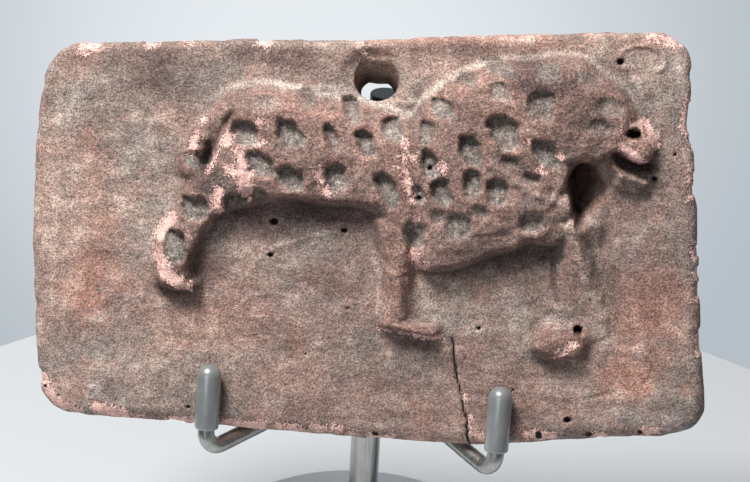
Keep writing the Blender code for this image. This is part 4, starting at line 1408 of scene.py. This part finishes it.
def sleeve_start():
    """How far up the prong its sleeve begins, just clear of the bend."""
    return BEND_RADIUS / math.tan(UPWARD.angle(Vector((0.0, 1.0, 0.0))) / 2.0) + GAP


print("lowest edge of the slab, mm:", round(slab_lowest(), 1),
      "left prong starts at", [round(value, 1) for value in prong_line(PRONG_LEFT)[0]])

# %% [markdown]
# ## The two arms
# A curve with a round bevel would be quicker, but a wire drawn by hand shows how extrude
# and spin work. A filled circle is extruded down the prong, spun round the bend and
# extruded to the post. There it swells in five short steps into the bead of solder. Spin
# turns against the right-hand rule, so its axis is the last spoke crossed with the first.

# %% Model the arms


def tool_mode(mode):
    bpy.ops.object.mode_set(mode=mode)


def extrude_to(shift):
    bpy.ops.mesh.extrude_region_move(TRANSFORM_OT_translate={"value": tuple(shift * MM)})


def wire_arm(name, across):
    """One arm, drawn out of a filled circle from the prong's top to its solder bead."""
    start, inward, end = prong_line(across)
    half = UPWARD.angle(inward) / 2.0
    tangent = BEND_RADIUS / math.tan(half)
    centre = start + (UPWARD + inward).normalized() * BEND_RADIUS / math.sin(half)
    top = start + UPWARD * (sleeve_start() + SLEEVE_LENGTH - PRONG_SHORT)
    bpy.ops.object.select_all(action="DESELECT")
    bpy.ops.mesh.primitive_circle_add(
        vertices=32, radius=WIRE_RADIUS * MM, fill_type="NGON",
        location=top * MM, rotation=UPWARD.to_track_quat("Z", "Y").to_euler(),
    )
    arm = bpy.context.object
    arm.name = name
    bpy.ops.object.transform_apply(location=True, rotation=True, scale=True)
    tool_mode("EDIT")
    bpy.ops.mesh.select_all(action="SELECT")
    extrude_to(start + UPWARD * tangent - top)
    first, last = start + UPWARD * tangent - centre, start + inward * tangent - centre
    bpy.ops.mesh.spin(
        steps=14, angle=first.angle(last), center=centre * MM,
        axis=last.cross(first).normalized(),
    )
    bead = sum(advance for advance, _ in BEAD)
    extrude_to(end - inward * bead - start - inward * tangent)
    for advance, growth in BEAD:
        extrude_to(inward * advance)
        bpy.ops.transform.resize(value=(growth, growth, growth))
    tool_mode("OBJECT")
    fix_normals(arm)
    alone(arm)
    bpy.ops.object.shade_smooth_by_angle(angle=math.radians(50))
    arm.data.materials.append(wire_steel)
    return arm


for side, across in (("left", PRONG_LEFT), ("right", PRONG_RIGHT)):
    arm = wire_arm("wire_arm_" + side, across)
    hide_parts("arm_" + side)
    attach(arm, "root")
    print(arm.name, "faces:", len(arm.data.polygons))

# %% [markdown]
# ## Grey tube
# The sleeves are soft grey plastic, evenly coloured with a faint cloud in it, and shiny
# at the top. A thin coat over a duller base gives that double shine better than a single
# low roughness would.

# %% Sleeve material


def sleeve_material():
    paint = Paint("grey_sleeve")
    cloud = paint.noise(0.004, 2.0, 0.5)
    fine = paint.noise(0.0006, 2.0, 0.5)
    tone = paint.mix(paint.span(cloud, 0.3, 0.7), seen(132, 136, 136), seen(141, 145, 145))
    paint.wire(tone, paint.shader.inputs["Base Color"])
    paint.shader.inputs["Metallic"].default_value = 0.35
    paint.wire(paint.span(fine, 0.3, 0.7, 0.32, 0.36), paint.shader.inputs["Roughness"])
    paint.shader.inputs["Coat Weight"].default_value = 0.8
    paint.shader.inputs["Coat Roughness"].default_value = 0.04
    paint.wire(paint.bump(cloud, 0.00025, 0.5), paint.shader.inputs["Normal"])
    return paint.material


grey = sleeve_material()
print("sleeve nodes:", len(grey.node_tree.nodes))

# %% [markdown]
# ## The sleeves
# A grey tube is shrunk over each prong so that steel never touches clay. Its lower end is
# cut straight with a soft lip and its top is a smooth dome. A cylinder is beveled at the
# lower end. Its top face is extruded in nine short steps, each one smaller by the cosine
# of its angle, so the steps follow a quarter circle.

# %% Model the sleeves
LIP_ROUNDING = 0.6
DOME_STEPS = 9
DOME_STEP_ANGLE = 9.0


def choose_faces(thing, wanted):
    """Selects the faces for which wanted(centre, normal) is true, in edit mode."""
    bpy.ops.mesh.select_mode(type="FACE")
    bpy.ops.mesh.select_all(action="DESELECT")
    shape = bmesh.from_edit_mesh(thing.data)
    for face in shape.faces:
        if wanted(face.calc_center_median(), face.normal):
            face.select_set(True)
    bmesh.update_edit_mesh(thing.data)


def sleeve(name, across, material):
    bpy.ops.object.select_all(action="DESELECT")
    bpy.ops.mesh.primitive_cylinder_add(
        vertices=48, radius=SLEEVE_RADIUS * MM, depth=(SLEEVE_LENGTH - DOME) * MM,
        location=(0.0, 0.0, (SLEEVE_LENGTH - DOME) * MM / 2.0),
    )
    tube = bpy.context.object
    tube.name = name
    bpy.ops.object.transform_apply(location=True)
    tool_mode("EDIT")
    choose_faces(tube, lambda centre, normal: normal.z < -0.9)
    bpy.ops.mesh.bevel(offset=LIP_ROUNDING * MM, segments=4, profile=0.5, affect="EDGES")
    choose_faces(tube, lambda centre, normal: normal.z > 0.9)
    angles = [math.radians(DOME_STEP_ANGLE * step) for step in range(DOME_STEPS + 1)]
    for before, after in zip(angles, angles[1:]):
        extrude_to(Vector((0.0, 0.0, DOME * (math.sin(after) - math.sin(before)))))
        shrink = math.cos(after) / math.cos(before)
        bpy.ops.transform.resize(value=(shrink, shrink, 1.0), center_override=(0.0, 0.0, 0.0))
    tool_mode("OBJECT")
    bpy.ops.object.shade_smooth_by_angle(angle=math.radians(40))
    start, _, _ = prong_line(across)
    spot = (start + UPWARD * sleeve_start()) * MM
    tube.data.transform(Matrix.Translation(spot) @ Matrix.Rotation(-LEAN, 4, "X"))
    tube.data.materials.clear()
    tube.data.materials.append(material)
    return tube


for side, across in (("left", PRONG_LEFT), ("right", PRONG_RIGHT)):
    tube = sleeve("soft_sleeve_" + side, across, grey)
    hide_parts("sleeve_" + side)
    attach(tube, "root")
    print(tube.name, "faces:", len(tube.data.polygons))

# %% [markdown]
# ## Floor and wall
# A round pale table top and a pale wall far behind it, as in a study photograph. The wall
# gives off its own light, brighter at the lower left, so that the steel has something
# soft to reflect.

# %% Floor and wall
TABLE_RADIUS = 0.160
TABLE_CENTRE = (0.010, -0.022, 0.0)
WALL_BEHIND = 1.2
WALL_SIZE = 6.0
GLOW_CENTRE = (-0.11, -0.37, 0.0)
GLOW_START = 0.06
GLOW_END = 0.48


def wall_material():
    lit = Paint("wall_light")
    reach = lit.tree.nodes.new("ShaderNodeVectorMath")
    reach.operation = "DISTANCE"
    lit.wire(lit.coords, reach.inputs[0])
    reach.inputs[1].default_value = GLOW_CENTRE
    fading = lit.span(reach.outputs["Value"], GLOW_START, GLOW_END)
    glow = lit.mix(fading, seen(231, 236, 240), seen(182, 191, 198))
    lit.wire(glow, lit.shader.inputs["Emission Color"])
    lit.shader.inputs["Emission Strength"].default_value = 1.0
    lit.shader.inputs["Base Color"].default_value = (0.0, 0.0, 0.0, 1.0)
    lit.shader.inputs["Specular IOR Level"].default_value = 0.0
    return lit.material


bpy.ops.object.select_all(action="DESELECT")
bpy.ops.mesh.primitive_circle_add(
    vertices=160, radius=TABLE_RADIUS, fill_type="NGON", location=TABLE_CENTRE,
)
floor = bpy.context.object
floor.name = "table_top"
table = Paint("table_paint")
table.shader.inputs["Base Color"].default_value = seen(188, 191, 194)
table.shader.inputs["Roughness"].default_value = 0.7
floor.data.materials.append(table.material)

bpy.ops.object.select_all(action="DESELECT")
bpy.ops.mesh.primitive_plane_add(
    size=WALL_SIZE, location=(0.0, WALL_BEHIND, 0.0), rotation=(math.pi / 2.0, 0.0, 0.0),
)
wall = bpy.context.object
wall.name = "back_wall"
wall.data.materials.append(wall_material())
print("stage:", floor.name, wall.name)

# %% [markdown]
# ## Lights
# One soft round lamp high in front and to the left models the relief: its light rakes
# down the face, so each mass casts a short shadow below it. A weak second lamp and a dim
# pale world keep those shadows open.

# %% Lights


def lamp(name, location, target, size, power, colour):
    light = bpy.data.lights.new(name, "AREA")
    light.shape = "DISK"
    light.size = size
    light.energy = power
    light.color = colour
    thing = bpy.data.objects.new(name, light)
    thing.location = location
    thing.rotation_euler = (Vector(target) - Vector(location)).to_track_quat("-Z", "Y").to_euler()
    bpy.context.collection.objects.link(thing)


AIM = (0.0, -0.02, 0.09)
lamp("key", (-0.20, -0.17, 0.66), AIM, 0.22, 7.0, (1.0, 0.985, 0.965))
lamp("fill", (-0.25, -0.75, 0.30), AIM, 0.5, 1.3, (0.97, 0.98, 1.0))
world = bpy.data.worlds.new("studio")
world.use_nodes = True
world.node_tree.nodes["Background"].inputs["Color"].default_value = seen(222, 228, 232)
world.node_tree.nodes["Background"].inputs["Strength"].default_value = 0.14
bpy.context.scene.world = world
bpy.context.scene.view_settings.view_transform = "Standard"

# %% [markdown]
# ## Camera
# The camera stands a third of a metre from the face's centre, looks down at it by 27
# degrees and is rolled a little. It is aimed from those angles with vectors, so that one
# number can be changed without touching the rest.

# %% Camera
PICTURE_WIDTH = 750
LENS_PIXELS = 1806.0
CAMERA_DISTANCE = 0.350
CAMERA_DOWN = math.radians(27.0)
CAMERA_SIDE = math.radians(2.2)
CAMERA_ROLL = math.radians(3.3)
CENTRE_RIGHT_PIXELS = 5.0
CENTRE_DOWN_PIXELS = 3.0
look = Vector((
    -math.sin(CAMERA_SIDE) * math.cos(CAMERA_DOWN),
    math.cos(CAMERA_SIDE) * math.cos(CAMERA_DOWN), -math.sin(CAMERA_DOWN),
))
level = Vector((math.cos(CAMERA_SIDE), math.sin(CAMERA_SIDE), 0.0))
rise = level.cross(look)
right = level * math.cos(CAMERA_ROLL) + rise * math.sin(CAMERA_ROLL)
above = rise * math.cos(CAMERA_ROLL) - level * math.sin(CAMERA_ROLL)
eye = Vector(place(0.0, 0.0, 0.0)) - look * CAMERA_DISTANCE
aimed = (look + (right * CENTRE_RIGHT_PIXELS - above * CENTRE_DOWN_PIXELS) / LENS_PIXELS).normalized()
side = aimed.cross(above).normalized()
top = side.cross(aimed)
lens = bpy.data.cameras.new("study_camera")
lens.sensor_width = 36.0
lens.lens = LENS_PIXELS * lens.sensor_width / PICTURE_WIDTH
lens.clip_start = 0.01
camera = bpy.data.objects.new("study_camera", lens)
camera.matrix_world = Matrix((
    (side.x, top.x, -aimed.x, eye.x),
    (side.y, top.y, -aimed.y, eye.y),
    (side.z, top.z, -aimed.z, eye.z),
    (0.0, 0.0, 0.0, 1.0),
))
bpy.context.collection.objects.link(camera)
bpy.context.scene.camera = camera
print("camera at", [round(v, 3) for v in eye], "lens", round(lens.lens, 1))
